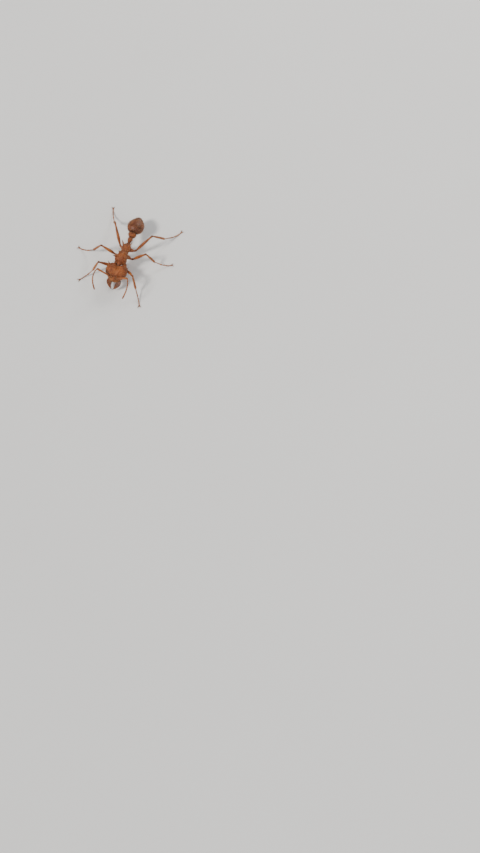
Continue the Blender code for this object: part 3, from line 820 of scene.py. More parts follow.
gasterCraft = {
    "profile": [(3.79, 0.46, 2.84, 2.04), (3.95, 0.76, 3.06, 1.84), (4.3, 1.06, 3.29, 1.58),
                (4.8, 1.21, 3.37, 1.42), (5.3, 1.17, 3.27, 1.37), (5.8, 0.97, 3.03, 1.43),
                (6.2, 0.7, 2.76, 1.55), (6.5, 0.42, 2.5, 1.7), (6.62, 0.27, 2.36, 1.79),
                (6.68, 0.155, 2.24, 1.9), (6.7, 0.05, 2.12, 2.01)],
    "seams": [(3.79, 0.0), (5.56, 10), (6.02, 14), (6.38, 18), (6.7, 0.0)], "seamHeight": 2.4,
    "rows": 150, "sides": 200, "axis": 2.37, "inset": 0.012, "lumps": 0.004,
    "lip": 0.016, "tuck": 0.06, "overlap": 0.2, "flankLevel": 0.3,
}


def gasterSection(y):
    # half width, middle height and half height
    width, top, bottom = onCurve(gasterCraft["profile"], y).T
    return width, (top + bottom) / 2, (top - bottom) / 2


def gasterRings(seams, low, high, share):
    # rings that lean with the seams, so y at a given share depends on the height
    tune = gasterCraft
    (_, startLean), (_, endLean) = seams
    across, rise = circle(tune["sides"])
    rings = []
    for s in share:
        y = low + (high - low) * s
        _, middle, half = gasterSection(y)
        lean = math.tan(math.radians(startLean * (1 - s) + endLean * s))
        leant = y + (middle + rise * half - tune["seamHeight"]) * lean
        leant = np.clip(leant, tune["seams"][0][0], tune["seams"][-1][0])
        width, middle, half = gasterSection(leant)
        rings.append(np.column_stack([across * width, leant, middle + rise * half]))
    return np.array(rings)


def fromAxis(points):
    return unit((points - (0, 0, gasterCraft["axis"])) * (1, 0, 1))


def makeGasterPlate(i):
    # each of the four overlapping rings ends in a lip, and the next comes out from under it
    tune = gasterCraft
    rows, sides = tune["rows"], tune["sides"]
    first, last = i == 0, i == 3
    seams = tune["seams"][i : i + 2]
    overlap = 0 if first else tune["overlap"]
    low, high = seams[0][0] - overlap, seams[1][0]
    share = np.linspace(0, 1, rows)
    if first or last:
        share = share * 0.4 + eased(share) * 0.6
    rings = gasterRings(seams, low, high, share)
    # tucked in under the plate before, swelling after it, and a rolled lip at the end
    ahead, behind = share * (high - low) - overlap, (1 - share) * (high - low)
    offset = np.full(rows, -tune["inset"])
    if not first:
        offset -= tune["tuck"] * (1 - smoothStep(-0.03, 0.16, ahead))
    if not last:
        offset += tune["lip"] * bump(behind - 0.035, 0.03) - 0.03 * smoothStep(0.02, 0.0, behind)
    points, faces = closedTube(rings + fromAxis(rings) * offset[:, None, None])
    tail = np.append(np.repeat(behind, sides), [0, 0])
    head = np.append(np.repeat(np.maximum(ahead, 0), sides), [0, 0])
    # the line where the back plate overlaps the belly plate, sunk and darkened as painted shade
    x, y, z = points.T
    width, middle, half = gasterSection(y)
    level = (z - middle + half) / np.maximum(2 * half, 1e-6) - tune["flankLevel"]
    flank = bump(level, 0.02) * smoothStep(0.3, 0.6, np.abs(x) / np.maximum(width, 0.1))
    relief = lumps(points, tune["lumps"], [(0.36, 1, 41 + i), (0.09, 0.4, 51 + i)])
    relief = relief - 0.035 * flank - 0.012 * smoothStep(0.0, -0.04, level)
    fade = 1 if last else smoothStep(0.0, 0.06, tail)
    points = points + fromAxis(points) * (relief * fade)[:, None]
    dark = 0.55 * flank + 0.12 * unevenness(points, 0.6, 61 + i)
    # the first plate is darker towards the waist; every other plate is darker where it is tucked under the
    # one before: painted shadow under that plate's lip
    dark = dark + (0.5 * smoothStep(4.05, 3.8, y) if first else 0.75 * bump(head, 0.05))
    dark = dark + (0.5 * smoothStep(6.5, 6.7, y) if last else 0.4 * bump(tail, 0.05))
    faces = flipped(faces)
    addPiece(f"gasterPlate_{i + 1}", points, faces, "gasterShell", "gaster", [f"gaster_{i + 1}"], tone=dark)
    return points, faces


gasterSkins = [makeGasterPlate(i) for i in range(4)]
print("gaster plates made:", len(gasterSkins))


# Legs

# lengths of the parts from the coxa to the tibia, and of the five foot pieces
legLengths = {
    "front": (0.95, 0.34, 2.4, 2.1, (1.15, 0.42, 0.32, 0.24, 0.46)),
    "mid": (0.85, 0.34, 2.7, 2.4, (1.3, 0.46, 0.34, 0.26, 0.48)),
    "hind": (0.9, 0.36, 3.4, 3.1, (1.62, 0.56, 0.4, 0.28, 0.52)),
}
# degrees: heading of the femur, its lift, the tibia's drop, and how far tibia and tarsus turn on
legStances = {
    ("front", 1): (44, 38, 60, 6, 9), ("front", -1): (29, 42, 65, 7, 9),
    ("mid", 1): (-12, 44, 62, -5, -8), ("mid", -1): (6, 41, 58, -6, -7),
    ("hind", 1): (-44, 40, 52, -6, -9), ("hind", -1): (-55, 43, 57, -5, -6),
}
legCraft = {
    "footAxis": 0.2, "soleAxis": 0.078, "toeLevel": 0.55, "steepest": 85,
    "spurs": {"front": [(0.35, 0.34), (-0.3, 0.24)], "mid": [(0.35, 0.34)], "hind": [(0.35, 0.34)]},
    "claw": [(0, 0.046), (0.3, 0.043), (0.7, 0.026), (1, 0.005)], "clawSplay": 0.62,
    "hook": [(0, 0), (0.16, 0.055), (0.3, 0.02), (0.4, -0.065)],
}
# each part's swelling along it, sides and rows of its mesh, upward bow, and how far its dark ends reach
limbForms = {
    "coxa": ([(-0.2, 0.1), (-0.1, 0.22), (0.08, 0.285), (0.3, 0.3), (0.6, 0.25), (0.85, 0.175),
              (1.0, 0.125)], 26, 50, 0.0, 0.12),
    "trochanter": ([(-0.12, 0.08), (0.02, 0.125), (0.2, 0.11), (0.5, 0.165), (0.85, 0.16), (1.12, 0.12)],
                   26, 30, 0.0, 0.25),
    "femur": ([(-0.03, 0.09), (0.02, 0.115), (0.1, 0.15), (0.26, 0.21), (0.42, 0.218), (0.62, 0.18),
               (0.8, 0.138), (0.9, 0.125), (0.955, 0.142), (1.0, 0.14), (1.02, 0.08)], 26, 90, 0.05, 0.06),
    "tibia": ([(-0.02, 0.07), (0.012, 0.108), (0.045, 0.082), (0.1, 0.1), (0.3, 0.136), (0.6, 0.158),
               (0.88, 0.16), (0.965, 0.15), (1.0, 0.1)], 26, 90, 0.04, 0.05),
    "tarsomere": ([(-0.04, 0.042), (0.04, 0.05), (0.35, 0.058), (0.78, 0.074), (0.95, 0.088), (1.0, 0.07)],
                  20, 46, 0.0, 0.08),
    "lastTarsomere": ([(-0.04, 0.045), (0.1, 0.055), (0.5, 0.066), (0.9, 0.082), (1.0, 0.06)],
                      20, 46, 0.0, 0.08),
}


def legCourse(pair, side):
    # joints of one leg from the coxa's root to the foot's tip, as the stance gives them
    root, hip = (mirrored(p, side) for p in legRoots[pair])
    _, trochanter, femur, tibia, tarsus = legLengths[pair]
    heading, lift, drop, shinTurn, footTurn = (math.radians(v) for v in legStances[(pair, side)])
    level = legCraft["toeLevel"]

    def step(angle, turned=0.0):
        way = heading + turned
        out = np.array([math.cos(way) * side, -math.sin(way), 0])
        return out * math.cos(angle) + up * math.sin(angle)

    elbow = hip + unit(unit(hip - root) + step(lift) * 1.2) * trochanter
    knee = elbow + step(lift) * femur
    ankle = knee + step(-drop, shinTurn) * tibia
    # the slope of the foot that brings its end just to the floor
    low, high = 0.0, math.radians(legCraft["steepest"])
    for _ in range(40):
        slope = (low + high) / 2
        fall = tarsus[0] * math.sin(slope) + sum(tarsus[1:4]) * math.sin(level * slope)
        low, high = (slope, high) if fall < ankle[2] - legCraft["footAxis"] else (low, slope)
    joints = [root, hip, elbow, knee, ankle]
    for i, (length, share) in enumerate(zip(tarsus, (1, level, level, level, 0))):
        joints.append(joints[-1] + step(-share * slope, shinTurn + footTurn * (i + 1) / 3) * length)
    return joints


def alongTube(values, sides, ends):
    # values at a closed tube's points, from one for each ring and one for each end
    return np.append(np.repeat(values, sides), ends)


def evenTone(mesh, tone):
    return (*mesh, np.full(len(mesh[0]), tone))


def segment(start, end, kind, seed, thicker=1.0):
    # one part of a limb between two joints, darker at both of them, with slow changes between
    stations, sides, rows, bow, ends = limbForms[kind]
    low, high = stations[0][0], stations[-1][0]
    even = np.linspace(0, 1, rows)
    share = (low + (high - low) * even) * 0.5 + (low + (high - low) * eased(even)) * 0.5
    points, faces = limb(bowed(start, end, share, up * bow), onCurve(stations, share)[:, 0] * thicker, sides)
    share = alongTube(share, sides, [low, high])
    dark = 0.55 * bump(share, ends) + 0.6 * bump(share - 1, ends * 0.8)
    dark += 0.12 * unevenness(points, 0.5, 70 + seed)
    if kind == "femur":
        dark += 0.25 * bump(share - 0.94, 0.03)
    return points, faces, np.clip(dark, 0, 1)


def joinToned(parts):
    return *joinMeshes([part[:2] for part in parts]), np.concatenate([part[2] for part in parts])


def keepLimb(name, parts, node, seed, height=0.003):
    # parts of (points, faces, tone) as one finely uneven piece
    points, faces, tone = joinToned(parts)
    points = points + height * unevenness(points, 0.08, seed)[:, None] * mixedNormals(points, faces)
    points[:, 2] = np.maximum(points[:, 2], 0)
    addPiece(name, points, faces, "limbShell", "limb", [node], tone=tone)
    return points, faces


def lowered(point, ankle):
    # from the solids' foot line down to the thinner foot's own, easing in from the ankle
    share = np.clip((ankle[2] - point[2]) / (ankle[2] - legCraft["footAxis"]), 0, 1)
    return point - up * (legCraft["footAxis"] - legCraft["soleAxis"]) * share


def makeSpurs(pair, side, knee, ankle, toe):
    # at the tibia's far end
    down, foot = unit(ankle - knee), unit(toe - ankle)
    aside = unit(np.cross(down, up))
    for lean, length in legCraft["spurs"][pair]:
        start = ankle - down * 0.05 - np.cross(aside, down) * 0.05 * side + aside * lean * 0.2
        tip = start + unit(down * 0.8 + foot * 0.5 + aside * lean) * length
        course, _ = alongPath([start, (start + tip) / 2 + down * 0.02, tip], 12)
        yield evenTone(limb(course, np.linspace(0.035, 0.006, 12), 8), 0.35)


def makeClaws(before, end):
    # a pair of hooked claws and the pad between them
    ahead = unit(end - before)
    aside = unit(np.cross(ahead, up))
    for turn in bothSides:
        splay = unit(ahead + aside * turn * legCraft["clawSplay"])
        base = end - ahead * 0.06 + aside * turn * 0.035
        hook = [base + splay * out + up * rise for out, rise in legCraft["hook"]]
        course, share = alongPath(hook, 26)
        yield evenTone(limb(course, onCurve(legCraft["claw"], share)[:, 0], 12), 0.6)
    yield evenTone(ball(end + ahead * 0.05 - up * 0.01, (0.06, 0.06, 0.04), 3), 0.15)


def makeLeg(pair, side):
    # trochanter and femur turn as one; each of the five foot pieces is flared at its far end
    root, hip, elbow, knee, ankle, toe = legCourse(pair, side)[:6]
    spots = [lowered(joint, ankle) for joint in legCourse(pair, side)[4:]]
    label = f"{pair}_{sideName(side)}"
    seed = len(label) * 7 + side
    foot = [segment(spots[i], spots[i + 1], "tarsomere", seed + 3 + i, 1.12 - 0.03 * i) for i in range(4)]
    foot += [segment(*spots[4:], "lastTarsomere", seed + 7), *makeClaws(*spots[4:])]
    thigh = [segment(hip, elbow, "trochanter", seed), segment(elbow, knee, "femur", seed + 1)]
    shin = [segment(knee, ankle, "tibia", seed + 2), *makeSpurs(pair, side, knee, ankle, toe)]
    kinds = {"hipPlate": ([segment(root, hip, "coxa", seed)], "coxa"), "thigh": (thigh, "femur"),
             "shin": (shin, "tibia"), "foot": (foot, "tarsus")}
    return {kind: keepLimb(f"{kind}_{label}_shell", parts, f"{node}_{label}", seed)
            for kind, (parts, node) in kinds.items()}


legSkins = {stance: makeLeg(*stance) for stance in legStances}
print("legs made:", len(legSkins))


# Antennae

antennaCraft = {
    "elbow": {1: (2.3, -4.34, 4.2), -1: (-2.36, -4.2, 4.06)},
    "middle": {1: (2.72, -5.66, 3.92), -1: (-2.52, -5.62, 3.72)},
    "tip": {1: (2.46, -7.06, 2.86), -1: (-1.78, -6.9, 2.74)},
    "bow": (0, -0.1, 0.14), "rodSides": 28, "beadSides": 24, "widest": 0.108,
    "scape": [(-0.02, 0.06), (0.0, 0.12), (0.025, 0.135), (0.05, 0.11), (0.075, 0.07), (0.12, 0.088),
              (0.3, 0.112), (0.62, 0.128), (0.88, 0.15), (0.96, 0.146), (1.0, 0.09)],
    # ten beads, the first a short elbow piece and the last a longer tapered one
    "lengths": (0.7, 1.25, 0.92, 0.88, 0.86, 0.86, 0.88, 0.92, 0.98, 1.75), "reach": 0.992,
    "bead": [(-0.04, 0.045), (0.03, 0.062), (0.12, 0.08), (0.5, 0.1), (0.82, 0.108), (0.95, 0.092),
             (1.0, 0.06)],
    "lastBead": [(-0.03, 0.045), (0.02, 0.065), (0.1, 0.09), (0.4, 0.106), (0.7, 0.092), (0.9, 0.058),
                 (0.97, 0.03), (1.0, 0.008)],
}


def antennaEnds(side):
    socket = fromHead(mirrored(headCraft["antennaSocket"], side))
    return socket, *(np.array(antennaCraft[key][side]) for key in ("elbow", "middle", "tip"))


def makeScape(side):
    tune = antennaCraft
    socket, elbow, _, _ = antennaEnds(side)
    share = np.linspace(-0.02, 1.0, 110)
    course = bowed(socket, elbow, share, tune["bow"])
    points, faces = limb(course, onCurve(tune["scape"], share)[:, 0], tune["rodSides"])
    tone = alongTube(0.6 * bump(share, 0.05) + 0.55 * bump(share - 1, 0.05), tune["rodSides"], [0.6, 0.5])
    tone = tone + 0.1 * unevenness(points, 0.5, 82)
    name = sideName(side)
    return keepLimb(f"scapeRod_{name}", [(points, faces, tone)], f"scape_{name}", 81)


def makeWhip(side):
    tune = antennaCraft
    _, elbow, middle, tip = antennaEnds(side)
    control = middle * 2 - (elbow + tip) / 2
    fine = np.linspace(0, 1, 400)[:, None]
    curve = elbow * (1 - fine) ** 2 + control * 2 * fine * (1 - fine) + tip * fine**2
    gone = travelled(curve)
    edges = np.append(0, np.cumsum(tune["lengths"])) / sum(tune["lengths"]) * gone[-1] * tune["reach"]
    last = len(tune["lengths"]) - 1
    parts = []
    for i in range(last + 1):
        stations = tune["lastBead" if i == last else "bead"]
        share = np.linspace(stations[0][0], 1, 34)
        at = edges[i] + share * (edges[i + 1] - edges[i])
        course = onCourse(curve, gone, at)
        if i == 0:
            course[0] = elbow - unit(curve[1] - curve[0]) * 0.03
        width = 0.086 + 0.026 * smoothStep(1, 8, i)
        radii = onCurve(stations, share)[:, 0] / tune["widest"] * width
        points, faces = limb(course, radii, tune["beadSides"])
        tone = alongTube(0.5 * bump(share, 0.1) + 0.35 * bump(share - 1, 0.06), tune["beadSides"], [0.5, 0.3])
        parts.append((points, faces, tone + 0.08 * unevenness(points, 0.5, 83)))
    name = sideName(side)
    return keepLimb(f"whip_{name}", parts, f"funiculus_{name}", 84, 0)


antennaSkins = {side: (makeScape(side), makeWhip(side)) for side in bothSides}


# Mandibles, mouth and joints

jawCraft = {
    "hinge": (0.86, 1.08, -0.16), "heel": (0.28, 1.5), "point": (0.1, 2.54), "reach": 1.46, "depth": 0.42,
    "teeth": 7, "tooth": 0.19, "voxel": 0.014,
    # one tooth: places along its share of the edge, and how far out each one stands
    "notch": ((0.16, 0.1), (0.34, 0.0), (0.5, 0.45), (0.64, 0.96), (0.7, 1.0), (0.8, 0.62), (0.92, 0.26)),
    "root": [(0.36, 1.36), (0.44, 1.24), (0.56, 1.09), (0.72, 1.0), (0.84, 1.02)],
    "layers": [(1.0, 0.045), (0.84, 0.018), (0.5, 0.0), (-0.5, 0.0), (-0.84, 0.018), (-1.0, 0.045)],
    # grooves along the jaw's top, darkened as painted shade in them
    "grooves": [("above", [start, end], 0.022, -0.013, 0.3, "upper")
                for start, end in (((0.72, 1.3), (0.18, 2.2)), ((0.6, 1.36), (0.22, 1.92)),
                                   ((0.86, 1.34), (0.36, 2.3)))],
}


def jawOutline():
    # from above, the hinge first: the outer edge sweeps in to the point, and the inner edge carries the teeth
    tune = jawCraft
    point, heel = np.array(tune["point"]), np.array(tune["heel"])
    share = np.linspace(0, 1, 40)
    sweep = 0.16 * np.sin(math.pi * share**0.8) - 0.84 * share**2.4
    outer = np.column_stack([tune["hinge"][0] + 0.08 + sweep, tune["hinge"][1] + tune["reach"] * share])
    inner = []
    for i in range(tune["teeth"]):
        size = tune["tooth"] * (1 - 0.5 * (i + 0.66) / tune["teeth"]) * (1.12 if i == 0 else 1.0)
        for place, out in tune["notch"]:
            at = (i + place) / tune["teeth"]
            spot = point + (heel - point) * at + (0.16 * math.sin(math.pi * at), 0)
            inner.append(spot + np.array([-0.85, 0.4]) * size * out)
    return np.vstack([outer, inner, heel, tune["root"]])


def jawSolid():
    # the outline as a blade of several layers, thinner towards its teeth and its point
    tune = jawCraft
    hinge = np.array(tune["hinge"])
    outline = jawOutline()
    ahead = unit(np.roll(outline, -1, 0) - np.roll(outline, 1, 0))
    inwards = np.column_stack([-ahead[:, 1], ahead[:, 0]])
    shape = bmesh.new()
    rows = []
    for level, inset in tune["layers"]:
        x, y = (outline + inwards * inset).T
        along = (y - hinge[1]) / tune["reach"]
        half = tune["depth"] / 2 * (1 - 0.52 * np.clip((hinge[0] + 0.12 - x) / 0.8, 0, 1))
        half = half * (1 - 0.45 * smoothStep(0.5, 1.0, along))
        row = np.column_stack([x, y, hinge[2] - 0.1 * along**2 + level * half])
        rows.append([shape.verts.new(point) for point in row])
    for near, far in zip(rows, rows[1:]):
        for i in range(len(outline)):
            shape.faces.new((near[i - 1], near[i], far[i], far[i - 1]))
    caps = [shape.faces.new(rows[0][::-1]), shape.faces.new(rows[-1])]
    bmesh.ops.triangulate(shape, faces=caps)
    bmesh.ops.recalc_face_normals(shape, faces=shape.faces)
    return takenFrom(shape)


def makeMandible(side):
    tune = jawCraft
    hinge = np.array(tune["hinge"])
    knuckle = ball(hinge + (-0.06, 0.02, 0.0), (0.2, 0.17, 0.19), 4)
    points, faces = remeshed([jawSolid(), knuckle], tune["voxel"], 5)
    y, z = points[:, 1:].T
    relief, dark = drawn(points, tune["grooves"], [], {"upper": smoothStep(hinge[2], hinge[2] + 0.08, z)})
    relief = relief + 0.003 * unevenness(points, 0.16, 91)
    points = points + normalsOf(points, faces) * relief[:, None]
    # darkest along the teeth and at the hinge
    edge = np.subtract(tune["heel"], tune["point"])
    toward = (points[:, :2] - tune["point"]) @ unit((edge[1], -edge[0]))
    dark = dark + smoothStep(-0.2, 0.06, toward) * 0.95 + 0.5 * bump(y - hinge[1] + 0.05, 0.12)
    name = sideName(side)
    skin = fromHead(points * (side, 1, 1)), flipped(faces) if side > 0 else faces
    addPiece(f"jaw_{name}", *skin, "jawShell", "mandible", [f"mandible_{name}"], tone=dark)
    return skin


def makeMouth():
    # upper lip, and two pairs of jointed palps, between and under the mandibles
    parts = [evenTone(ball((0, 1.22, -0.12), (0.3, 0.13, 0.11), 5), 0.35)]
    palps = [((0.2, 1.1, -0.3), (0.34, 1.52, -0.52), 0.04), ((0.07, 1.12, -0.32), (0.1, 1.42, -0.55), 0.034)]
    for side in bothSides:
        for start, end, radius in palps:
            start, end = mirrored(start, side), mirrored(end, side)
            course, share = alongPath([start, (start + end) / 2 + (0.03 * side, 0.04, 0), end], 48)
            knots = radius * (0.78 + 0.3 * np.abs(np.sin(share * math.pi * 3)))
            knots[-3:] *= (0.8, 0.5, 0.2)
            parts.append(evenTone(limb(course, knots, 12), 0.15))
    points, faces, tone = joinToned(parts)
    addPiece("lipAndPalps", fromHead(points), flipped(faces), "limbShell", "mandible", tone=tone)


# soft skin at the neck and before, within and behind the waist: two ends and a radius
softSkins = [((0, -1.9, 2.72), (0, -2.46, 2.62), 0.235), ((0, 1.84, 2.42), (0, 2.1, 2.41), 0.155),
             ((0, 2.86, 2.44), (0, 3.06, 2.43), 0.165), ((0, 3.66, 2.44), (0, 3.92, 2.44), 0.33)]


def makeJoints():
    parts = []
    for start, end, radius in softSkins:
        share = np.linspace(0, 1, 40)
        course = bowed(np.array(start), np.array(end), share, (0, 0, 0))
        parts.append(limb(course, radius * (1 + 0.05 * np.sin(share * math.pi * 10)), 36))
    addPiece("jointSkins", *joinMeshes(parts), "joint", "limb")


jawSkins = {side: makeMandible(side) for side in bothSides}
makeMouth()
makeJoints()
print("antennae, mandibles and mouth made")


# Hairs: tapered bristles of solid mesh, each rooted in a plate

bristle = {"sides": 3, "levels": (0.0, 0.34, 0.7), "thin": (1.0, 0.8, 0.5), "sink": 0.012, "room": 0.01,
           "sizes": (0.62, 1.25), "thicks": (0.8, 1.15), "leastLift": 0.12, "lowering": 0.35,
           "patch": 0.003, "margin": 0.03, "used": 0.92}
lowest, highest = np.array(solidBox) / toMetres - shift


def growHairs(skin, count, length, thick, flow, lift, curl, weight=None, jitter=0.22):
    # roots scattered over a skin; each hair leans along the flow, bends towards it and stays in the ant's box
    points, faces = skin
    if not isinstance(faces, np.ndarray):
        faces = np.array([[*face, face[-1]][:4] for face in faces])
    spots, out = scattered(points, faces, count, weight(points) if weight else np.ones(len(points)))
    along = unit(flow - out * (flow * out).sum(1, keepdims=True))
    way = unit(out * lift + along * (1 - lift) + rng.normal(0, jitter, spots.shape))
    below = (way * out).sum(1, keepdims=True)
    way = unit(way + out * np.maximum(bristle["leastLift"] - below, 0))
    size = length * rng.uniform(*bristle["sizes"], (count, 1))
    thick = thick * rng.uniform(*bristle["thicks"], (count, 1))
    root, bend = spots - out * bristle["sink"], along * curl - out * curl * bristle["lowering"]
    tips = root + way * size + bend * size
    inside = ((tips > lowest + bristle["room"]) & (tips < highest - bristle["room"])).all(1)
    return [each[inside] for each in (root, way, bend, size, thick, tips)]


def unwrapped(spots, tile, across):
    # places on an unwrap of the part, round its long axis, inside its own square of the sheet
    middle = spots.mean(0)
    _, _, axes = np.linalg.svd(spots - middle, full_matrices=False)
    there = (spots - middle) @ axes.T
    along = (there[:, 0] - there[:, 0].min()) / np.ptp(there[:, 0])
    angle = np.arctan2(there[:, 2], there[:, 1]) / (2 * math.pi) + 0.5
    corner = np.array([tile % across, tile // across]) + bristle["margin"]
    return (corner + bristle["used"] * np.column_stack([angle, along])) / across


def bristlePattern(sides, rows):
    # the faces of one hair: its base, the walls between its rings, and the tip
    return [list(range(sides))[::-1], *ringWalls(rows, sides), *fan(sides, (rows - 1) * sides, rows * sides)]


def makeCoat(name, look, slot, tufts):
    # one piece of many hairs, with the bake map that says where each one stands
    sides, levels = bristle["sides"], np.array(bristle["levels"])
    across = math.ceil(math.sqrt(len(tufts)))
    spots = np.vstack([unwrapped(tuft[0], tile, across) for tile, tuft in enumerate(tufts)])
    root, way, bend, size, thick, tips = (np.vstack(each) for each in zip(*tufts))
    side = np.cross(way, up)
    side = unit(np.where(lengthOf(side)[:, None] < 0.05, [1.0, 0, 0], side))
    rise = np.cross(way, side)
    rows = []
    for level, thin in zip(levels, bristle["thin"]):
        centre = root + way * size * level + bend * size * level**2
        rows += [centre + (side * x + rise * y) * thick * thin for x, y in zip(*circle(sides))]
    points = np.stack([*rows, tips], 1).reshape(-1, 3)
    bases = np.arange(len(root))[:, None] * (len(rows) + 1)
    faces = [face for corners in bristlePattern(sides, len(levels)) for face in (bases + corners).tolist()]
    heights = alongTube(levels, sides, 1.0)
    piece = addPiece(name, points, faces, look, slot, along=np.tile(heights, len(root)))
    around = np.append(np.tile(np.arange(sides) / sides, len(levels)), 0.5)
    places = (spots[:, None] + np.column_stack([around, heights]) * bristle["patch"]).reshape(-1, 2)
    corners = numbersOf(piece.data.loops, "vertex_index", len(piece.data.loops), np.int32)
    layer = piece.data.uv_layers.new(name="OFBake")
    layer.data.foreach_set("uv", places[corners].astype(np.float32).ravel())
    print(name, "hairs:", len(root))


def headWeight(points):
    # thickest on top and towards the mouth, none on the eyes
    own = toHead(points)
    eyes = [mirrored(headCraft["eyePlace"], side) for side in bothSides]
    cover = 0.35 + 0.9 * smoothStep(-0.2, 0.3, own[:, 2]) + 0.5 * smoothStep(0.2, 1.1, own[:, 1])
    return cover * (1 - nearness(own, eyes, 0.26)) + 0.01


def jawWeight(points):
    own = toHead(points)
    return smoothStep(0.34, 0.52, np.abs(own[:, 0]) + 0.16 * (own[:, 1] - 1.1)) + 0.003


def risingWeight(least, most, low, high):
    # thicker on the back than below
    return lambda points: least + most * smoothStep(low, high, points[:, 2])


backwards, forwards = np.array([0.0, 1.0, -0.1]), headTurn[1]
trunkWeight, waistWeight = risingWeight(0.15, 1, 2.3, 3.0), risingWeight(0.2, 1, 2.3, 2.7)
gasterWeight = risingWeight(0.5, 0.8, 2.0, 2.6)
legCoats = {"hipPlate": (0, 1, 90, 0.11, 0.0046, 0.42), "thigh": (2, 3, 430, 0.12, 0.0048, 0.3),
            "shin": (3, 4, 600, 0.13, 0.005, 0.3), "foot": (4, -1, 680, 0.1, 0.0044, 0.3)}


def legRows(pair, more):
    # each part's coat lies along it, between the two joints that its row names first
    for side in bothSides:
        joints = legCourse(pair, side)
        for kind, (start, end, count, length, thick, lift) in legCoats.items():
            way = unit(joints[end] - joints[start])
            yield legSkins[(pair, side)][kind], int(count * more), length, thick, way, lift, 0.22


def antennaRows():
    for side in bothSides:
        socket, elbow, _, tip = antennaEnds(side)
        scape, whip = antennaSkins[side]
        yield scape, 520, 0.09, 0.0044, unit(elbow - socket), 0.34, 0.22
        yield whip, 1700, 0.06, 0.0036, unit(tip - elbow), 0.38, 0.2


def jawRows():
    for side in bothSides:
        way = unit(fromHead((0, 2.6, -0.2)) - fromHead((0.8 * side, 1.2, -0.1)))
        yield jawSkins[side], 330, 0.13, 0.0048, way, 0.36, 0.25, jawWeight


def gasterRows():
    # short hairs, then one long hair for every nine of them
    for share, length, thick, lift, curl, jitter in ((1, 0.13, 0.0046, 0.24, 0.22, 0.12),
                                                     (9, 0.3, 0.007, 0.72, 0.24, 0.22)):
        for skin, count in zip(gasterSkins, (2700, 900, 560, 340)):
            yield skin, count // share, length, thick, backwards, lift, curl, gasterWeight, jitter


# rows of skin, count, length, thickness, flow, lift, curl, weight and jitter
coats = {
    "coatHead": ("hair", "cuticle", [(headSkin, 2900, 0.13, 0.0046, forwards, 0.36, 0.3, headWeight),
                                     (headSkin, 260, 0.28, 0.0066, forwards, 0.75, 0.18, headWeight)]),
    "coatTrunk": ("hair", "cuticle", [(trunkSkin, 1500, 0.13, 0.0046, backwards, 0.34, 0.3, trunkWeight),
                                      (trunkSkin, 220, 0.29, 0.0066, backwards, 0.78, 0.2, trunkWeight),
                                      (waistSkins[0], 220, 0.15, 0.0052, backwards, 0.55, 0.25, waistWeight),
                                      (waistSkins[1], 340, 0.16, 0.0052, backwards, 0.5, 0.25, waistWeight)]),
    "coatGaster": ("hair", "gaster", gasterRows()),
    "coatLegs_front": ("darkHair", "limb", legRows("front", 0.85)),
    "coatLegs_mid": ("darkHair", "limb", legRows("mid", 1.0)),
    "coatLegs_hind": ("darkHair", "limb", legRows("hind", 1.2)),
    "coatAntennae": ("darkHair", "limb", antennaRows()),
    "coatJaws": ("hair", "mandible", jawRows()),
}
for name, (look, slot, rows) in coats.items():
    makeCoat(name, look, slot, [growHairs(*row) for row in rows])


# Stage, light and camera

stageCraft = {
    "floorFlat": 0.35, "rimWidth": 0.5, "rimHeight": 0.22, "floorRows": 24, "floorSides": 96,
    "sunFrom": (-0.42, -0.52, 0.78), "sunStrength": 2.7, "sunSpread": 12, "sunColour": (1.0, 0.965, 0.92),
    "lamps": [("fillLight", (0.22, -0.1, 0.14), 0.18, 0.1, (0.9, 0.95, 1.0)),
              ("backLight", (0.06, 0.22, 0.16), 0.1, 0.3, (1.0, 0.98, 0.96))],
    "sky": (0.9, 0.92, 0.94), "skyStrength": 0.44,
}
cameraCraft = {"turn": 19.4, "rise": 65.1, "lens": 85, "distance": 0.281, "aim": (0.0247, -0.0197, 0.0)}


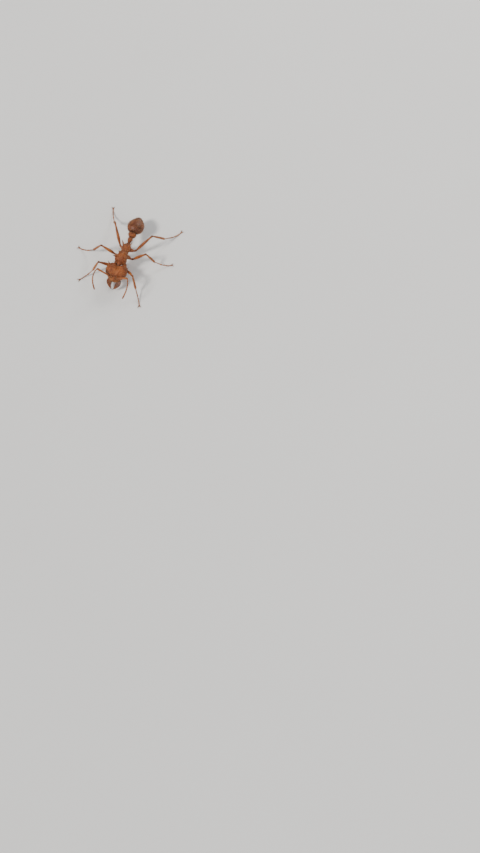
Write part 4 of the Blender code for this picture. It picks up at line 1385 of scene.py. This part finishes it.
def makeFloor():
    # flat underfoot, with a rim that rises softly far off, so that no hard horizon shows
    tune = stageCraft
    sides = tune["floorSides"]
    x, y = circle(sides)
    points = [(0, 0, 0)]
    for climb in np.linspace(0, 1, tune["floorRows"]):
        reach = tune["floorFlat"] + tune["rimWidth"] * climb
        height = np.full(sides, tune["rimHeight"] * climb**2)
        points += np.column_stack([reach * x, reach * y, height]).tolist()
    rim = [[corner + 1 for corner in face] for face in flipped(ringWalls(tune["floorRows"], sides))]
    graph = Graph("paleFloor")
    cloud = graph.noise(0.03, 3, 0.5, 0.0, graph.place())
    colour = graph.mix(cloud, (0.8, 0.795, 0.78), (0.85, 0.845, 0.83))
    mesh = newMesh("floor", points, fan(sides, 1, 0) + rim)
    mesh.shade_smooth()
    mesh.materials.append(graph.finish(baseColor=colour, roughness=0.75))
    newObject("floor", mesh)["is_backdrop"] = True


def placeLight(light, place, energy, colour):
    light.energy, light.color = energy, colour
    lit = newObject(light.name, light)
    lit.location = place
    lit.rotation_euler = (-Vector(place)).to_track_quat("-Z", "Y").to_euler()


def makeLight():
    tune = stageCraft
    world = bpy.data.worlds.new("studio")
    world.use_nodes = True
    background = world.node_tree.nodes["Background"]
    background.inputs["Color"].default_value = (*tune["sky"], 1)
    background.inputs["Strength"].default_value = tune["skyStrength"]
    bpy.context.scene.world = world
    sun = bpy.data.lights.new("keySun", "SUN")
    sun.angle = math.radians(tune["sunSpread"])
    placeLight(sun, tune["sunFrom"], tune["sunStrength"], tune["sunColour"])
    for name, place, size, power, colour in tune["lamps"]:
        lamp = bpy.data.lights.new(name, "AREA")
        lamp.shape = "DISK"
        lamp.size = size
        placeLight(lamp, place, power, colour)


def makeCamera():
    tune = cameraCraft
    turn, rise = math.radians(tune["turn"]), math.radians(tune["rise"])
    back = Vector((math.sin(turn) * math.cos(rise), -math.cos(turn) * math.cos(rise), math.sin(rise)))
    view = bpy.data.cameras.new("camera")
    view.lens, view.clip_start, view.clip_end = tune["lens"], 0.002, 10
    camera = newObject("camera", view)
    camera.location = Vector(tune["aim"]) + back * tune["distance"]
    camera.rotation_euler = back.to_track_quat("Z", "Y").to_euler()
    bpy.context.scene.camera = camera


makeFloor()
makeLight()
makeCamera()
bpy.context.view_layer.update()
boxes = {"solid": solidBox, "visual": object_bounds()}
{name: [list(corner) for corner in box] for name, box in boxes.items()}
